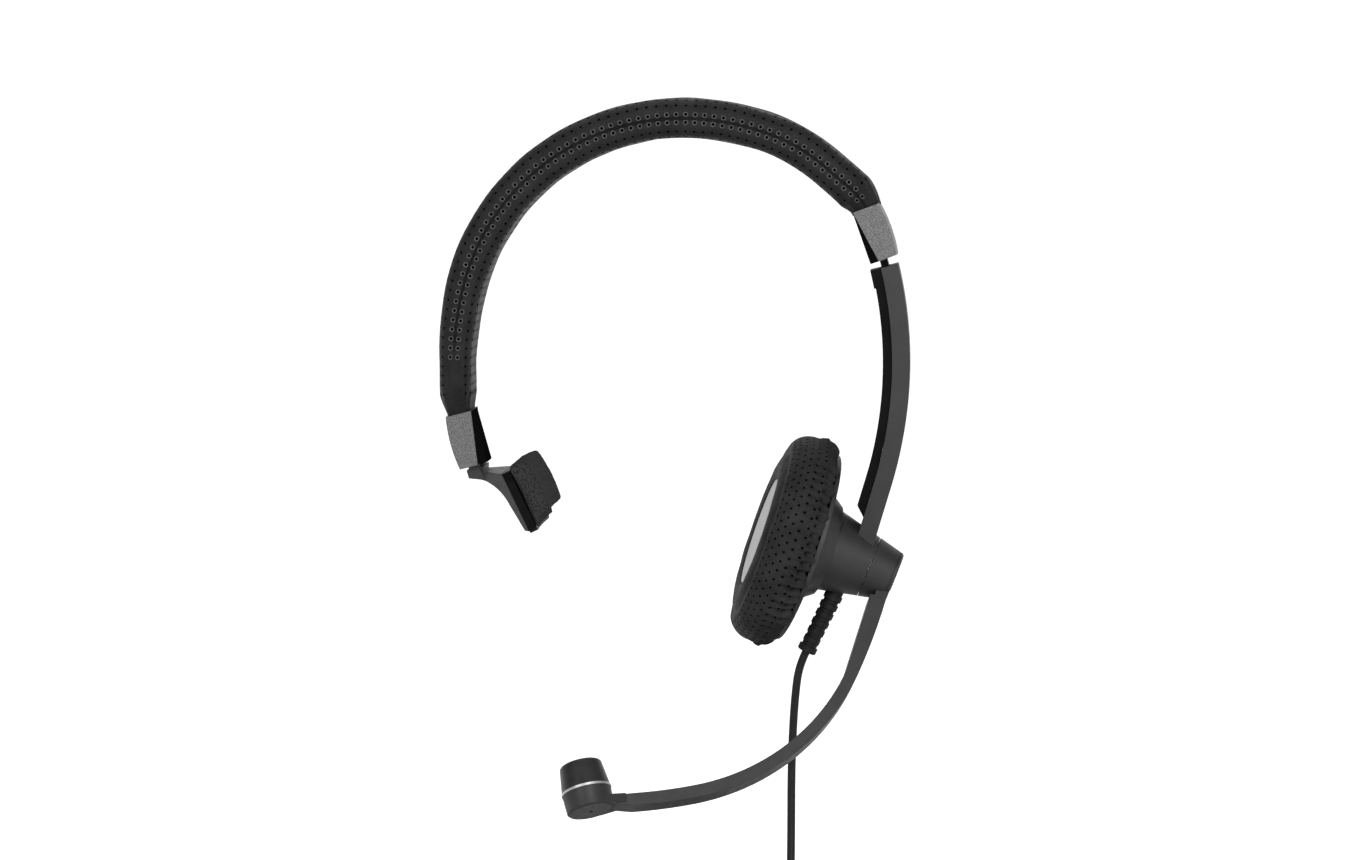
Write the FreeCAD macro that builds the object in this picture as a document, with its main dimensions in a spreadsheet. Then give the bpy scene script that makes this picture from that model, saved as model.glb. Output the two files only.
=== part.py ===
"""Office headset for one ear, as it is built: a padded headband, a sliding arm with a hub, an ear cup
on a two-axis swivel, a turning microphone boom, and a corded USB plug.

Millimetres.  +Z is up, -Y is the wearer's front and +X is the side of the ear cup.  The origin is the
underside of the headband pad at the crown, where the headset rests on a head.
"""
import FreeCAD, Part
import math
import os
import re

import Sketcher
from FreeCAD import Vector

# ---------------------------------------------------------------- driving dimensions

DIMENSIONS = [
    # headband: arcs from the ear-cup end, over the crown, to the temple end (angles from +X)
    ("band_thick", 10.4), ("band_width", 24.0), ("band_corner", 4.8), ("band_top_offset", 0.5),
    ("band_top_radius", 67.7),
    ("band_right_radius", 63.9), ("band_right_join", 68.6), ("band_right_end", 37.9),
    ("band_left_radius", 64.9), ("band_left_join", 115.4), ("band_low_radius", 102.8),
    ("band_low_join", 168.0), ("band_left_end", 187.0), ("cover_wall", 1.0), ("foam_play", 0.1),
    ("spring_thick", 0.8), ("spring_width", 13.0), ("spring_tail", 3.6),
    # sleeves at the two ends of the band
    ("sleeve_depth", 19.0), ("sleeve_bevel", 3.3), ("sleeve_cavity", 4.4), ("sleeve_cavity_width", 15.0),
    ("sleeve_half", 4.15), ("sleeve_length", 15.9), ("sleeve_crown", 45.0), ("rivet_radius", 1.2),
    ("arm_sleeve_x", 53.7), ("arm_sleeve_z", -20.8), ("arm_sleeve_lean", 20.4),
    ("temple_sleeve_x", -65.5), ("temple_sleeve_z", -81.4), ("temple_sleeve_lean", 14.8),
    # slide: one arc that the blade and the arm share
    ("slide_x", -57.2), ("slide_z", -66.5), ("slide_radius", 120.0), ("blade_top", 20.5),
    ("blade_end", -4.5), ("blade_thick", 2.2), ("blade_width", 8.6), ("slide_play", 0.2),
    # arm
    ("arm_top", 13.7), ("arm_bottom", -16.7), ("arm_width", 13.0), ("arm_outside", 3.9),
    ("arm_inside", 1.3), ("arm_foot", 18.4), ("channel_end", -9.0), ("trim_thick", 2.7),
    ("trim_width", 11.0), ("trim_foot", 8.5), ("trim_head", 0.5), ("trim_head_end", 11.0),
    # hub: a cone about an axis that points out and down
    ("hub_x", 42.45), ("hub_z", -121.65), ("hub_tilt", 21.7), ("hub_radius", 12.3), ("hub_slope", 0.2325),
    ("hub_ring", 1.4), ("barrel_end", 13.3), ("rotor_end", 20.5), ("cap_end", 21.6), ("seam", 0.2),
    ("socket_radius", 8.2), ("web_start", 6.6), ("web_end", 8.0), ("barrel_bore", 7.4),
    ("bush_radius", 3.6), ("bush_bore", 1.6), ("bush_end", 16.6), ("turn_play", 0.05),
    # ear-cup swivel, its pivot on the hub axis
    ("pivot_depth", 2.0), ("cup_yaw", 8.0), ("cup_tilt", 2.5), ("pin_radius", 0.9), ("block_half", 3.4),
    ("trunnion_radius", 1.3), ("trunnion_reach", 9.4), ("lug_thick", 1.6), ("swivel_gap", 0.35),
    # ear cup, centred a little below the pivot
    ("cup_drop", 0.9), ("cup_radius", 28.4), ("cup_wall", 1.3), ("cup_back", -6.0), ("cup_rim", -7.6),
    ("cup_shoulder", 17.0), ("cup_neck", 13.6), ("pad_radius", 31.4), ("pad_hole", 16.1),
    ("pad_front", -22.8), ("pad_seat", -11.5), ("pad_back", -8.9), ("pad_rear", 5.5), ("pad_skin", 0.9),
    ("cloth_thick", 0.6),
    ("driver_radius", 13.4), ("baffle_front", -17.4), ("baffle_back", -9.0),
    # boom: a flat strip that bends in towards the mouth, in one plane through the hub axis
    ("boom_forward", 30.0), ("boom_width", 6.6), ("boom_thick", 3.6), ("boom_seat", 18.86),
    ("boom_lean", 4.47), ("boom_straight", 9.0), ("boom_start_radius", 195.0), ("boom_start_end", 3.0),
    ("boom_bend_radius", 67.7), ("boom_bend_end", 55.5), ("boom_tip_radius", 150.0), ("boom_tip_end", 62.5),
    ("boom_root", 4.6), ("boom_heel", 8.95), ("boom_heel_thick", 1.2),
    # microphone
    ("mic_x", 100.8), ("mic_z", -36.6), ("mic_turn", 56.0), ("mic_web", 10.4),
    ("mic_disc_radius", 6.9), ("mic_ring_radius", 7.25), ("mic_top_radius", 6.1), ("mic_half", 2.9),
    ("mic_ring_height", 0.7), ("mic_cap_height", 8.0), ("mic_wall", 0.9),
    # temple rest
    ("temple_x", -51.0), ("temple_z", -98.2), ("temple_lean", 25.6), ("temple_half", 22.0),
    ("temple_curve", 250.0), ("temple_height", 18.9), ("temple_plate", 2.4), ("temple_foam", 5.4),
    ("temple_arm_width", 12.0), ("temple_root_width", 30.0),
    # cord, strain relief, coil and plug
    ("relief_depth", 7.7), ("relief_lean", 4.2), ("relief_start", 8.7), ("relief_end", 30.3),
    ("relief_radius", 2.8),
    ("relief_neck", 2.4), ("cord_radius", 1.25), ("coil_radius", 17.0), ("coil_section", 6.2),
    ("coil_x", 15.1), ("coil_z", -246.0), ("tie_width", 9.0), ("tie_thick", 1.0), ("usb_width", 12.0),
    ("usb_height", 4.5), ("usb_reach", 12.0), ("usb_wall", 0.3), ("grip_length", 27.0),
    ("grip_width", 15.5), ("grip_thick", 8.2), ("grip_neck", 7.0), ("plug_x", -1.3), ("plug_z", -282.5),
]

# Routes chosen by hand, as x and z: the cord below its strain relief, and the tail from coil to plug.
CORD_ROUTE = [(36.37, -151.76), (34.25, -156.20), (33.2, -164.5), (32.5, -175.0), (32.1, -187.0)]
TAIL_ROUTE = [(9.0, -264.8), (3.6, -267.2), (0.3, -271.4), (-1.1, -276.6), (-1.3, -282.5)]

doc = FreeCAD.newDocument("office_headset")
dims = doc.addObject("Spreadsheet::Sheet", "dims")
for row, (alias, value) in enumerate(DIMENSIONS, start=1):
    dims.set(f"A{row}", alias)
    dims.set(f"B{row}", str(value))
    dims.setAlias(f"B{row}", alias)
doc.recompute()

ALIASES = {alias for alias, value in DIMENSIONS}
nodes = []


# ---------------------------------------------------------------- helpers

def bound(text):
    """The expression with each dimension's alias read from the sheet."""
    return re.sub(r"[a-z][a-z_]+", lambda m: f"dims.{m[0]}" if m[0] in ALIASES else m[0], str(text))


def number(text):
    """The value of an expression in the sheet's dimensions."""
    value = dims.evalExpression(bound(text))
    return float(getattr(value, "Value", value))


def bind(feature, name, text):
    """Sets a property now and keeps it bound to the sheet."""
    if name not in ("Placement", "AttachmentOffset"):
        setattr(feature, name, number(text))
    feature.setExpression(name, bound(text))


def at(x=0, y=0, z=0):
    """Expression of a shift."""
    return f"placement(vector({x}; {y}; {z}); rotation(vector(0; 0; 1); 0))"


def turn(axis, angle):
    """Expression of a turn about an axis through the origin."""
    x, y, z = {"x": (1, 0, 0), "y": (0, 1, 0), "z": (0, 0, 1)}[axis]
    return f"placement(vector(0; 0; 0); rotation(vector({x}; {y}; {z}); {angle}))"


# Frames.  In the hub's, z runs out along the hub axis, x down beside it and y back.
HUB = f"{at('hub_x', 0, 'hub_z')} * {turn('y', '90 + hub_tilt')}"
PIVOT = f"{HUB} * {at(0, 0, 'pivot_depth')}"
YAWED = f"{PIVOT} * {turn('x', '-cup_yaw')}"
CUP_PIVOT = f"{YAWED} * {turn('y', '-cup_tilt')}"
CUP = f"{CUP_PIVOT} * {at('cup_drop', 0, 0)}"
BOOM = f"{HUB} * {turn('z', '-boom_forward')}"
RELIEF = f"{HUB} * {at(0, 0, 'relief_depth')} * {turn('y', '90 + relief_lean')}"
TEMPLE = f"{at('temple_x', 0, 'temple_z')} * {turn('y', '-temple_lean')}"
ARM_SLEEVE = f"{at('arm_sleeve_x', 0, 'arm_sleeve_z')} * {turn('y', '-arm_sleeve_lean')}"
TEMPLE_SLEEVE = (f"{at('temple_sleeve_x', 0, 'temple_sleeve_z')} * {turn('y', '-temple_sleeve_lean')}"
                 f" * {turn('z', 180)}")


def named(thing, label):
    """Marks a finished sub-part: its label is its node's name."""
    thing.Label = label
    nodes.append(thing)
    return thing


def placed(thing, frame):
    if frame:
        bind(thing, "Placement", frame)
    return thing


def new_body(name, frame=None):
    return placed(doc.addObject("PartDesign::Body", name), frame)


def sketch_in(body, plane, offset=None):
    """A sketch on one of the body's own origin planes, such as XZ."""
    sketch = body.newObject("Sketcher::SketchObject", body.Name + "_sketch")
    origin = [o for o in body.Origin.OriginFeatures if o.Role == plane + "_Plane"][0]
    sketch.AttachmentSupport = [(origin, "")]
    sketch.MapMode = "FlatFace"
    if offset:
        bind(sketch, "AttachmentOffset", offset)
    return sketch


def arc_between(start, end, radius):
    """Minor arc, turning left for a positive radius and right for a negative one."""
    chord = end - start
    half = chord.Length / 2
    side = Vector(-chord.y, chord.x, 0).normalize()
    sagitta = abs(radius) - math.sqrt(max(radius * radius - half * half, 0))
    middle = (start + end) * 0.5 - side * math.copysign(sagitta, radius)
    return Part.Arc(start, middle, end)


def outline(sketch, points, closed=True):
    """Adds a wire of lines and arcs through points given as expressions: (x, y), or (x, y, radius) where
    an arc of that radius leads to the next point.  Every point and radius is bound to the sheet."""
    spots = [Vector(number(p[0]), number(p[1]), 0) for p in points]
    first = sketch.GeometryCount
    edges = len(points) if closed else len(points) - 1
    for i in range(edges):
        start, end = spots[i], spots[(i + 1) % len(spots)]
        if len(points[i]) > 2:
            edge = arc_between(start, end, number(points[i][2]))
        else:
            edge = Part.LineSegment(start, end)
        sketch.addGeometry(edge, False)
    ends = []
    for i in range(edges):
        turns_right = len(points[i]) > 2 and number(points[i][2]) < 0
        ends.append((2, 1) if turns_right else (1, 2))
    for i in range(edges if closed else edges - 1):
        j = (i + 1) % edges
        sketch.addConstraint(Sketcher.Constraint("Coincident", first + i, ends[i][1], first + j, ends[j][0]))
    for i, point in enumerate(points):
        edge, end = (first + i, ends[i][0]) if i < edges else (first + i - 1, ends[i - 1][1])
        hold(sketch, ("DistanceX", -1, 1, edge, end), point[0])
        hold(sketch, ("DistanceY", -1, 1, edge, end), point[1])
        if len(point) > 2:
            hold(sketch, ("Radius", first + i), f"abs({point[2]})")
    return sketch


def hold(sketch, constraint, text):
    """Adds a dimensional constraint bound to the sheet."""
    index = sketch.addConstraint(Sketcher.Constraint(*constraint, number(text)))
    sketch.setExpression(f"Constraints[{index}]", bound(text))


def circle(sketch, x, y, radius):
    """Adds a circle bound to the sheet."""
    centre = Vector(number(x), number(y), 0)
    index = sketch.addGeometry(Part.Circle(centre, Vector(0, 0, 1), number(radius)), False)
    hold(sketch, ("DistanceX", -1, 1, index, 3), x)
    hold(sketch, ("DistanceY", -1, 1, index, 3), y)
    hold(sketch, ("Radius", index), radius)
    return sketch


def rectangle(x_low, y_low, x_high, y_high):
    return [(x_low, y_low), (x_high, y_low), (x_high, y_high), (x_low, y_high)]


def feature(body, kind, sketch, **values):
    """Adds a PartDesign feature on a sketch; text values are expressions, others are set as they are."""
    made = body.newObject("PartDesign::" + kind, f"{body.Name}_{kind}")
    made.Profile = sketch
    sketch.Visibility = False
    for name, value in values.items():
        if isinstance(value, str) and name in ("Length", "Angle"):
            bind(made, name, value)
        else:
            setattr(made, name, value)
    doc.recompute()
    return made


def pad(body, sketch, length, symmetric=True, **values):
    side = "Symmetric" if symmetric else "One side"
    return feature(body, "Pad", sketch, Length=length, SideType=side, **values)


def pocket(body, sketch, length, symmetric=True, **values):
    """Cuts away, and makes sure that something was cut."""
    before = body.Shape.Volume
    side = "Symmetric" if symmetric else "One side"
    made = feature(body, "Pocket", sketch, Length=length, SideType=side, **values)
    if body.Shape.Volume > before - 0.01:
        raise RuntimeError(f"{made.Name} cuts nothing")
    return made


def turned(name, frame, *profiles, angle="360"):
    """A body turned about its frame's z, from closed outlines of (radius, height)."""
    body = new_body(name, frame)
    sketch = sketch_in(body, "XZ")
    for profile in profiles:
        outline(sketch, profile)
    feature(body, "Revolution", sketch, Angle=angle, ReferenceAxis=(sketch, ["V_Axis"]))
    return body


def boolean(kind, name, base, tool):
    """Part::Cut or Part::Fuse of two objects."""
    made = doc.addObject("Part::" + kind, name)
    made.Base = base
    made.Tool = tool
    doc.recompute()
    return made


def rounded(body, radius, choose):
    """Fillets the body's edges that choose() picks."""
    doc.recompute()
    tip = body.Tip
    picked = [f"Edge{i}" for i, edge in enumerate(tip.Shape.Edges, start=1) if choose(edge)]
    made = body.newObject("PartDesign::Fillet", body.Name + "_Fillet")
    made.Base = (tip, picked)
    bind(made, "Radius", radius)
    doc.recompute()
    return body


def direction(edge):
    """Unit direction of a straight edge, and a null vector for a curved one."""
    if edge.Curve.TypeId != "Part::GeomLine":
        return Vector(0, 0, 0)
    return edge.tangentAt(edge.FirstParameter).normalize()


def cylinder(name, frame, radius, height):
    made = doc.addObject("Part::Cylinder", name)
    bind(made, "Radius", radius)
    bind(made, "Height", height)
    return placed(made, frame)


def block(name, frame, length, width, height):
    """A box on its frame: centred in x and y, standing on z = 0."""
    made = doc.addObject("Part::Box", name)
    bind(made, "Length", length)
    bind(made, "Width", width)
    bind(made, "Height", height)
    return placed(made, f"{frame} * {at(f'-({length}) / 2', f'-({width}) / 2', 0)}")


def polar(centre_x, centre_z, radius, angle):
    """Point of a circle in the XZ plane, as two expressions."""
    return f"{centre_x} + ({radius}) * cos({angle})", f"{centre_z} + ({radius}) * sin({angle})"


# ---------------------------------------------------------------- headband

BAND_TOP = ("band_top_offset", "band_thick / 2 - band_top_radius")


def beyond(centre, radius, next_radius, angle):
    """Centre of the arc that follows on smoothly from the one about centre, at the angle."""
    gap = f"{radius} - {next_radius}"
    return f"({centre[0]} + ({gap}) * cos({angle}))", f"({centre[1]} + ({gap}) * sin({angle}))"


BAND_RIGHT = beyond(BAND_TOP, "band_top_radius", "band_right_radius", "band_right_join")
BAND_LEFT = beyond(BAND_TOP, "band_top_radius", "band_left_radius", "band_left_join")
BAND_LOW = beyond(BAND_LEFT, "band_left_radius", "band_low_radius", "band_low_join")


def band_sweep(name, right_end, left_end, *profiles):
    """A body swept along the headband's arcs; profiles are (depth into the band, width) outlines."""
    body = new_body(name)
    path = outline(sketch_in(body, "XZ"), [
        (*polar(*BAND_RIGHT, "band_right_radius", right_end), "band_right_radius"),
        (*polar(*BAND_TOP, "band_top_radius", "band_right_join"), "band_top_radius"),
        (*polar(*BAND_TOP, "band_top_radius", "band_left_join"), "band_left_radius"),
        (*polar(*BAND_LEFT, "band_left_radius", "band_low_join"), "band_low_radius"),
        polar(*BAND_LOW, "band_low_radius", left_end)], closed=False)
    x, z = polar(*BAND_RIGHT, "band_right_radius", right_end)
    section = sketch_in(body, "XY", f"{at(x, 0, z)} * {turn('y', f'-({right_end})')}")
    for profile in profiles:
        outline(section, profile)
    pipe = body.newObject("PartDesign::AdditivePipe", name + "_pipe")
    pipe.Profile = section
    pipe.Spine = path
    doc.recompute()
    return body


def rounded_rectangle(half_x, half_y, corner):
    """Outline with four corner arcs, about the sketch's origin."""
    x, y = f"({half_x})", f"({half_y})"
    in_x, in_y = f"({half_x} - ({corner}))", f"({half_y} - ({corner}))"
    return [(f"-{in_x}", f"-{y}"), (in_x, f"-{y}", corner), (x, f"-{in_y}"), (x, in_y, corner),
            (in_x, y), (f"-{in_x}", y, corner), (f"-{x}", in_y), (f"-{x}", f"-{in_y}", corner)]


def band_parts():
    skin_in = "band_thick / 2 - cover_wall"
    foam_out = f"{skin_in} - foam_play"
    slot = rectangle("-spring_thick / 2 - foam_play", "-spring_width / 2 - foam_play",
                     "spring_thick / 2 + foam_play", "spring_width / 2 + foam_play")
    cover = band_sweep("band_cover", "band_right_end", "band_left_end",
                       rounded_rectangle("band_thick / 2", "band_width / 2", "band_corner"),
                       rounded_rectangle(skin_in, "band_width / 2 - cover_wall", "band_corner - cover_wall"))
    foam = band_sweep("band_foam", "band_right_end", "band_left_end",
                      rounded_rectangle(foam_out, "band_width / 2 - cover_wall - foam_play",
                                        "band_corner - cover_wall - foam_play"), slot)
    named(cover, "band_cover")
    named(foam, "band_foam")
    spring = band_sweep("spring_strip", "band_right_end - spring_tail", "band_left_end + spring_tail * 0.6",
                        rectangle("-spring_thick / 2", "-spring_width / 2",
                                  "spring_thick / 2", "spring_width / 2"))
    named(boolean("Cut", "band_spring", spring, rivet_group("spring_holes", "0.05")), "band_spring")


# ---------------------------------------------------------------- sleeves and their rivets

RIVETS = [("arm", ARM_SLEEVE, -1.9), ("arm", ARM_SLEEVE, -9.5),
          ("temple", TEMPLE_SLEEVE, -2.2), ("temple", TEMPLE_SLEEVE, -10.5)]


def rivet_group(name, play="0"):
    """The four rivets that cross the sleeves' cavities, as one group; play widens them for their holes."""
    rivets = []
    for index, (side, frame, height) in enumerate(RIVETS):
        spot = f"{frame} * {at('-sleeve_cavity / 2', 0, height)} * {turn('y', 90)}"
        rivets.append(cylinder(f"{name}_{index}", spot, f"rivet_radius + {play}", "sleeve_cavity"))
    group = doc.addObject("Part::Compound", name)
    group.Links = rivets
    doc.recompute()
    return group


def sleeve(name, frame):
    """A hollow sleeve: its faces to front and back have a bevel on the head's side that grows downwards."""
    body = new_body(name, frame)
    low, half, slim = "-sleeve_length", "sleeve_half", "sleeve_depth / 2 - sleeve_bevel"
    full = [(f"-{half} - 0.25", low), (f"{half} - 0.1", low, "sleeve_crown"), (half, "0"), (f"-{half}", "0")]
    narrow = [(f"-{half} - 0.25 + 0.8 * sleeve_bevel", low), (f"{half} - 0.5", low, "sleeve_crown"),
              (f"{half} - 0.4", "0"), (f"-{half} + 0.2", "0")]
    pad(body, outline(sketch_in(body, "XZ"), full), f"2 * ({slim})")
    for side in (1, -1):
        root = outline(sketch_in(body, "XZ", at(0, 0, f"{side} * ({slim})")), full)
        face = outline(sketch_in(body, "XZ", at(0, 0, f"{side} * sleeve_depth / 2")), narrow)
        loft = body.newObject("PartDesign::AdditiveLoft", f"{name}_bevel")
        loft.Profile = root
        loft.Sections = [face]
        loft.Ruled = True
        doc.recompute()
    hollow = outline(sketch_in(body, "XY"), rectangle("-sleeve_cavity / 2", "-sleeve_cavity_width / 2",
                                                      "sleeve_cavity / 2", "sleeve_cavity_width / 2"))
    pocket(body, hollow, "3 * sleeve_length")
    return body


def sleeve_parts():
    named(sleeve("arm_sleeve", ARM_SLEEVE), "arm_sleeve")
    named(sleeve("temple_sleeve", TEMPLE_SLEEVE), "temple_sleeve")
    named(rivet_group("sleeve_rivets"), "sleeve_rivets")


# ---------------------------------------------------------------- slide and arm

def on_slide(radius, angle, down=0):
    """Point at a radius and angle about the slide's centre, moved on along the arm's straight foot."""
    x, z = polar("slide_x", "slide_z", radius, angle)
    return f"{x} + ({down}) * sin({angle})", f"{z} - ({down}) * cos({angle})"


def slide_strip(inner, outer, top, end):
    """Outline of a strip bent about the slide's centre, from angle end up to angle top."""
    return [(*on_slide(inner, top), f"-({inner})"), on_slide(inner, end),
            (*on_slide(outer, end), outer), on_slide(outer, top)]


def slider_blade():
    body = new_body("blade_strip")
    inner, outer = "(slide_radius - blade_thick / 2)", "(slide_radius + blade_thick / 2)"
    pad(body, outline(sketch_in(body, "XZ"), slide_strip(inner, outer, "blade_top", "blade_end")), "blade_width")
    named(boolean("Cut", "slider_blade", body, rivet_group("blade_holes", "0.05")), "slider_blade")


def arm_bar():
    """The curved bar with the channel for the blade, open towards the head and at the top."""
    body = new_body("arm_bar")
    inner, outer = "(slide_radius - arm_inside)", "(slide_radius + arm_outside)"
    bar = [(*on_slide(inner, "arm_top"), f"-({inner})"), on_slide(inner, "arm_bottom"),
           on_slide(inner, "arm_bottom", "arm_foot"), on_slide(outer, "arm_bottom", "arm_foot"),
           (*on_slide(outer, "arm_bottom"), outer), on_slide(outer, "arm_top")]
    pad(body, outline(sketch_in(body, "XZ"), bar), "arm_width")
    back = "(slide_radius + blade_thick / 2 + slide_play)"
    channel = slide_strip("(slide_radius - arm_inside - 1)", back, "arm_top + 1", "channel_end")
    pocket(body, outline(sketch_in(body, "XZ"), channel), "blade_width + 2 * slide_play")
    nest = slide_strip("(slide_radius + 1)", f"({back} + 0.9)", "8", "2")
    pocket(body, outline(sketch_in(body, "XZ"), nest), "5.4")
    return body


def arm_parts():
    outer_face = "hub_radius - hub_slope * "
    barrel = turned("barrel", HUB, [
        ("socket_radius", "hub_ring"), (f"{outer_face} hub_ring", "hub_ring"),
        (f"{outer_face} barrel_end", "barrel_end - seam / 2"), ("barrel_bore", "barrel_end - seam / 2"),
        ("barrel_bore", "web_end"), ("bush_bore + 0.1", "web_end"), ("bush_bore + 0.1", "web_start"),
        ("socket_radius", "web_start")])
    shell = boolean("Fuse", "arm_with_barrel", arm_bar(), barrel)
    hollow = turned("barrel_hollow", HUB,
                    [("0", "-3"), ("socket_radius", "-3"), ("socket_radius", "web_start"), ("0", "web_start")],
                    [("0", "web_end"), ("barrel_bore", "web_end"), ("barrel_bore", "barrel_end + 3"),
                     ("0", "barrel_end + 3")])
    shell = boolean("Cut", "arm_hollowed", shell, hollow)
    outlet = cylinder("cord_outlet", f"{RELIEF} * {at(0, 0, 7)}", "relief_neck + 0.05", "8")
    shell = boolean("Cut", "arm_drilled", shell, outlet)
    named(boolean("Cut", "arm_shell", shell, trunnion_hole("arm_trunnion_hole")), "arm_shell")
    ring = turned("ring_blank", HUB, [
        ("socket_radius", "0"), ("hub_radius", "0"), (f"{outer_face} hub_ring", "hub_ring - 0.1"),
        ("socket_radius", "hub_ring - 0.1")])
    named(boolean("Cut", "socket_ring", ring, trunnion_hole("ring_trunnion_hole")), "socket_ring")


def trunnion_hole(name):
    spot = f"{PIVOT} * {turn('y', 90)} * {at(0, 0, '-trunnion_reach - 0.3')}"
    return cylinder(name, spot, "trunnion_radius + turn_play", "2 * trunnion_reach + 0.6")


def arm_trim():
    """The dark cover along the head's side of the arm: thicker at the top, cut off at a slant below."""
    body = new_body("arm_trim")
    back = "(slide_radius - arm_inside - 0.02)"
    face, head = f"({back} - trim_thick)", f"({back} - trim_thick - trim_head)"
    points = [(*on_slide(head, "arm_top"), f"-({head})"), on_slide(head, "trim_head_end"),
              (*on_slide(face, "trim_head_end"), f"-({face})"), on_slide(face, "arm_bottom"),
              on_slide(face, "arm_bottom", "trim_foot"), on_slide(back, "arm_bottom", "trim_foot + 2.8"),
              (*on_slide(back, "arm_bottom"), back), on_slide(back, "arm_top")]
    pad(body, outline(sketch_in(body, "XZ"), points), "trim_width")
    named(body, "arm_trim")


def detent_spring():
    """Leaf that presses on the blade and holds the size that is set."""
    body = new_body("detent_spring")
    inner = "(slide_radius + blade_thick / 2 + slide_play + 0.3)"
    leaf = slide_strip(inner, f"({inner} + 0.4)", "7.6", "2.4")
    pad(body, outline(sketch_in(body, "XZ"), leaf), "5")
    named(body, "detent_spring")


def hub_inside():
    """Bush, screw, washers and terminal board in the hub's barrel."""
    named(turned("boom_bush", HUB, rectangle("bush_bore", "web_end", "bush_radius", "bush_end")), "boom_bush")
    named(turned("boom_screw", HUB, [
        ("0", "9"), ("bush_bore - 0.02", "9"), ("bush_bore - 0.02", "17.3"), ("2.9", "17.3"), ("2.9", "18.3"),
        ("2.4", "18.9"), ("1.2", "18.9"), ("1.2", "18.1"), ("0", "18.1")]), "boom_screw")
    named(turned("thrust_washer", HUB, rectangle("bush_bore + 0.1", "16.85", "5.2", "17.25")), "thrust_washer")
    named(turned("friction_washer", HUB, rectangle("bush_radius + 0.1", "12.4", "7.2", "13.35")),
          "friction_washer")
    named(turned("terminal_board", HUB, rectangle("bush_radius + 0.2", "9.2", "7.2", "10.4")),
          "terminal_board")


# ---------------------------------------------------------------- ear-cup swivel

def swivel_parts():
    heart = block("swivel_heart", f"{YAWED} * {at(0, 0, -3)}", "2 * block_half", "6", "6")
    pivot = cylinder("swivel_trunnions", f"{YAWED} * {turn('y', 90)} * {at(0, 0, '-trunnion_reach')}",
                     "trunnion_radius", "2 * trunnion_reach")
    cross = boolean("Fuse", "swivel_cross_solid", heart, pivot)
    hole = cup_pin_cylinder("swivel_pin_hole", "pin_radius + turn_play")
    named(boolean("Cut", "swivel_cross", cross, hole), "swivel_cross")
    named(cup_pin_cylinder("cup_pin", "pin_radius"), "cup_pin")


def cup_pin_cylinder(name, radius):
    return cylinder(name, f"{CUP_PIVOT} * {turn('x', 90)} * {at(0, 0, -5.2)}", radius, "10.4")


# ---------------------------------------------------------------- ear cup

def cup_parts():
    dish = turned("cup_dish", CUP, [
        ("2", "cup_back"), ("cup_shoulder", "cup_back"), ("cup_radius", "cup_rim"),
        ("cup_radius", "cup_rim - cup_wall"), ("cup_shoulder", "cup_back - cup_wall"),
        ("2", "cup_back - cup_wall")])
    socket = "(sqrt(hub_radius ^ 2 + pivot_depth ^ 2) + swivel_gap)"
    deep = "(cup_back - 0.6)"
    neck = turned("cup_collar", CUP_PIVOT, [
        (f"sqrt({socket} ^ 2 - {deep} ^ 2)", deep, socket), (f"sqrt({socket} ^ 2 - 1.9 ^ 2)", "-1.9"),
        ("cup_neck", "-1.9"), ("cup_neck + 3.4", deep)])
    shell = boolean("Fuse", "cup_with_neck", dish, neck)
    for side, name in ((1, "back"), (-1, "front")):
        spot = f"{CUP_PIVOT} * {at(0, f'{side} * (3.2 + lug_thick / 2)', 'cup_back - 0.6')}"
        lug = block(f"cup_lug_{name}", spot, "4.8", "lug_thick", "8.6")
        shell = boolean("Fuse", f"cup_with_{name}_lug", shell, lug)
    hole = cup_pin_cylinder("cup_pin_hole", "pin_radius + 0.02")
    named(boolean("Cut", "cup_back_shell", shell, hole), "cup_back_shell")
    named(baffle(), "speaker_baffle")
    driver_parts()
    pad_parts()


def baffle():
    """Front wall of the cup: a flange with a raised basket for the driver, pierced before it."""
    body = turned("speaker_baffle", CUP, [
        ("0", "baffle_front"), ("15", "baffle_front"), ("15", "-10.2"), ("26.9", "-10.2"), ("26.9", "-9.1"),
        ("14", "-9.1"), ("14", "baffle_front + 1"), ("0", "baffle_front + 1")])
    holes = sketch_in(body, "XY", at(0, 0, "baffle_front"))
    circle(holes, "0", "0", "1.2")
    for ring, count in ((4.5, 6), (9.0, 12)):
        for i in range(count):
            angle = 360 * i / count
            circle(holes, f"{ring} * cos({angle})", f"{ring} * sin({angle})", "1.0")
    pocket(body, holes, "4")
    return body


def driver_parts():
    named(turned("driver_frame", CUP, [
        ("12.2", "-16.2"), ("driver_radius", "-16.2"), ("driver_radius", "-12.4"), ("8.2", "-12.4"),
        ("8.2", "-13.2"), ("12.2", "-13.2")]), "driver_frame")
    named(turned("driver_magnet", CUP, rectangle("0", "-13.1", "8.0", "-8.6")), "driver_magnet")
    named(turned("driver_cone", CUP, [("0", "-14.2"), ("5", "-13.8"), ("12.1", "-15.6"), ("12.1", "-15.3"),
                                      ("5", "-13.5"), ("0", "-13.9")]), "driver_cone")
    screws = []
    for i in range(3):
        spot = f"{CUP} * {turn('z', 120 * i)} * {at(21, 0, 0)}"
        screws.append(turned(f"cup_screw_{i}", spot, [
            ("0", "-11.3"), ("1.7", "-11.3"), ("1.7", "-10.3"), ("0.9", "-10.3"), ("0.9", "-7.8"), ("0", "-7.8")]))
    group = doc.addObject("Part::Compound", "cup_screws")
    group.Links = screws
    doc.recompute()
    named(group, "cup_screws")


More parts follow.
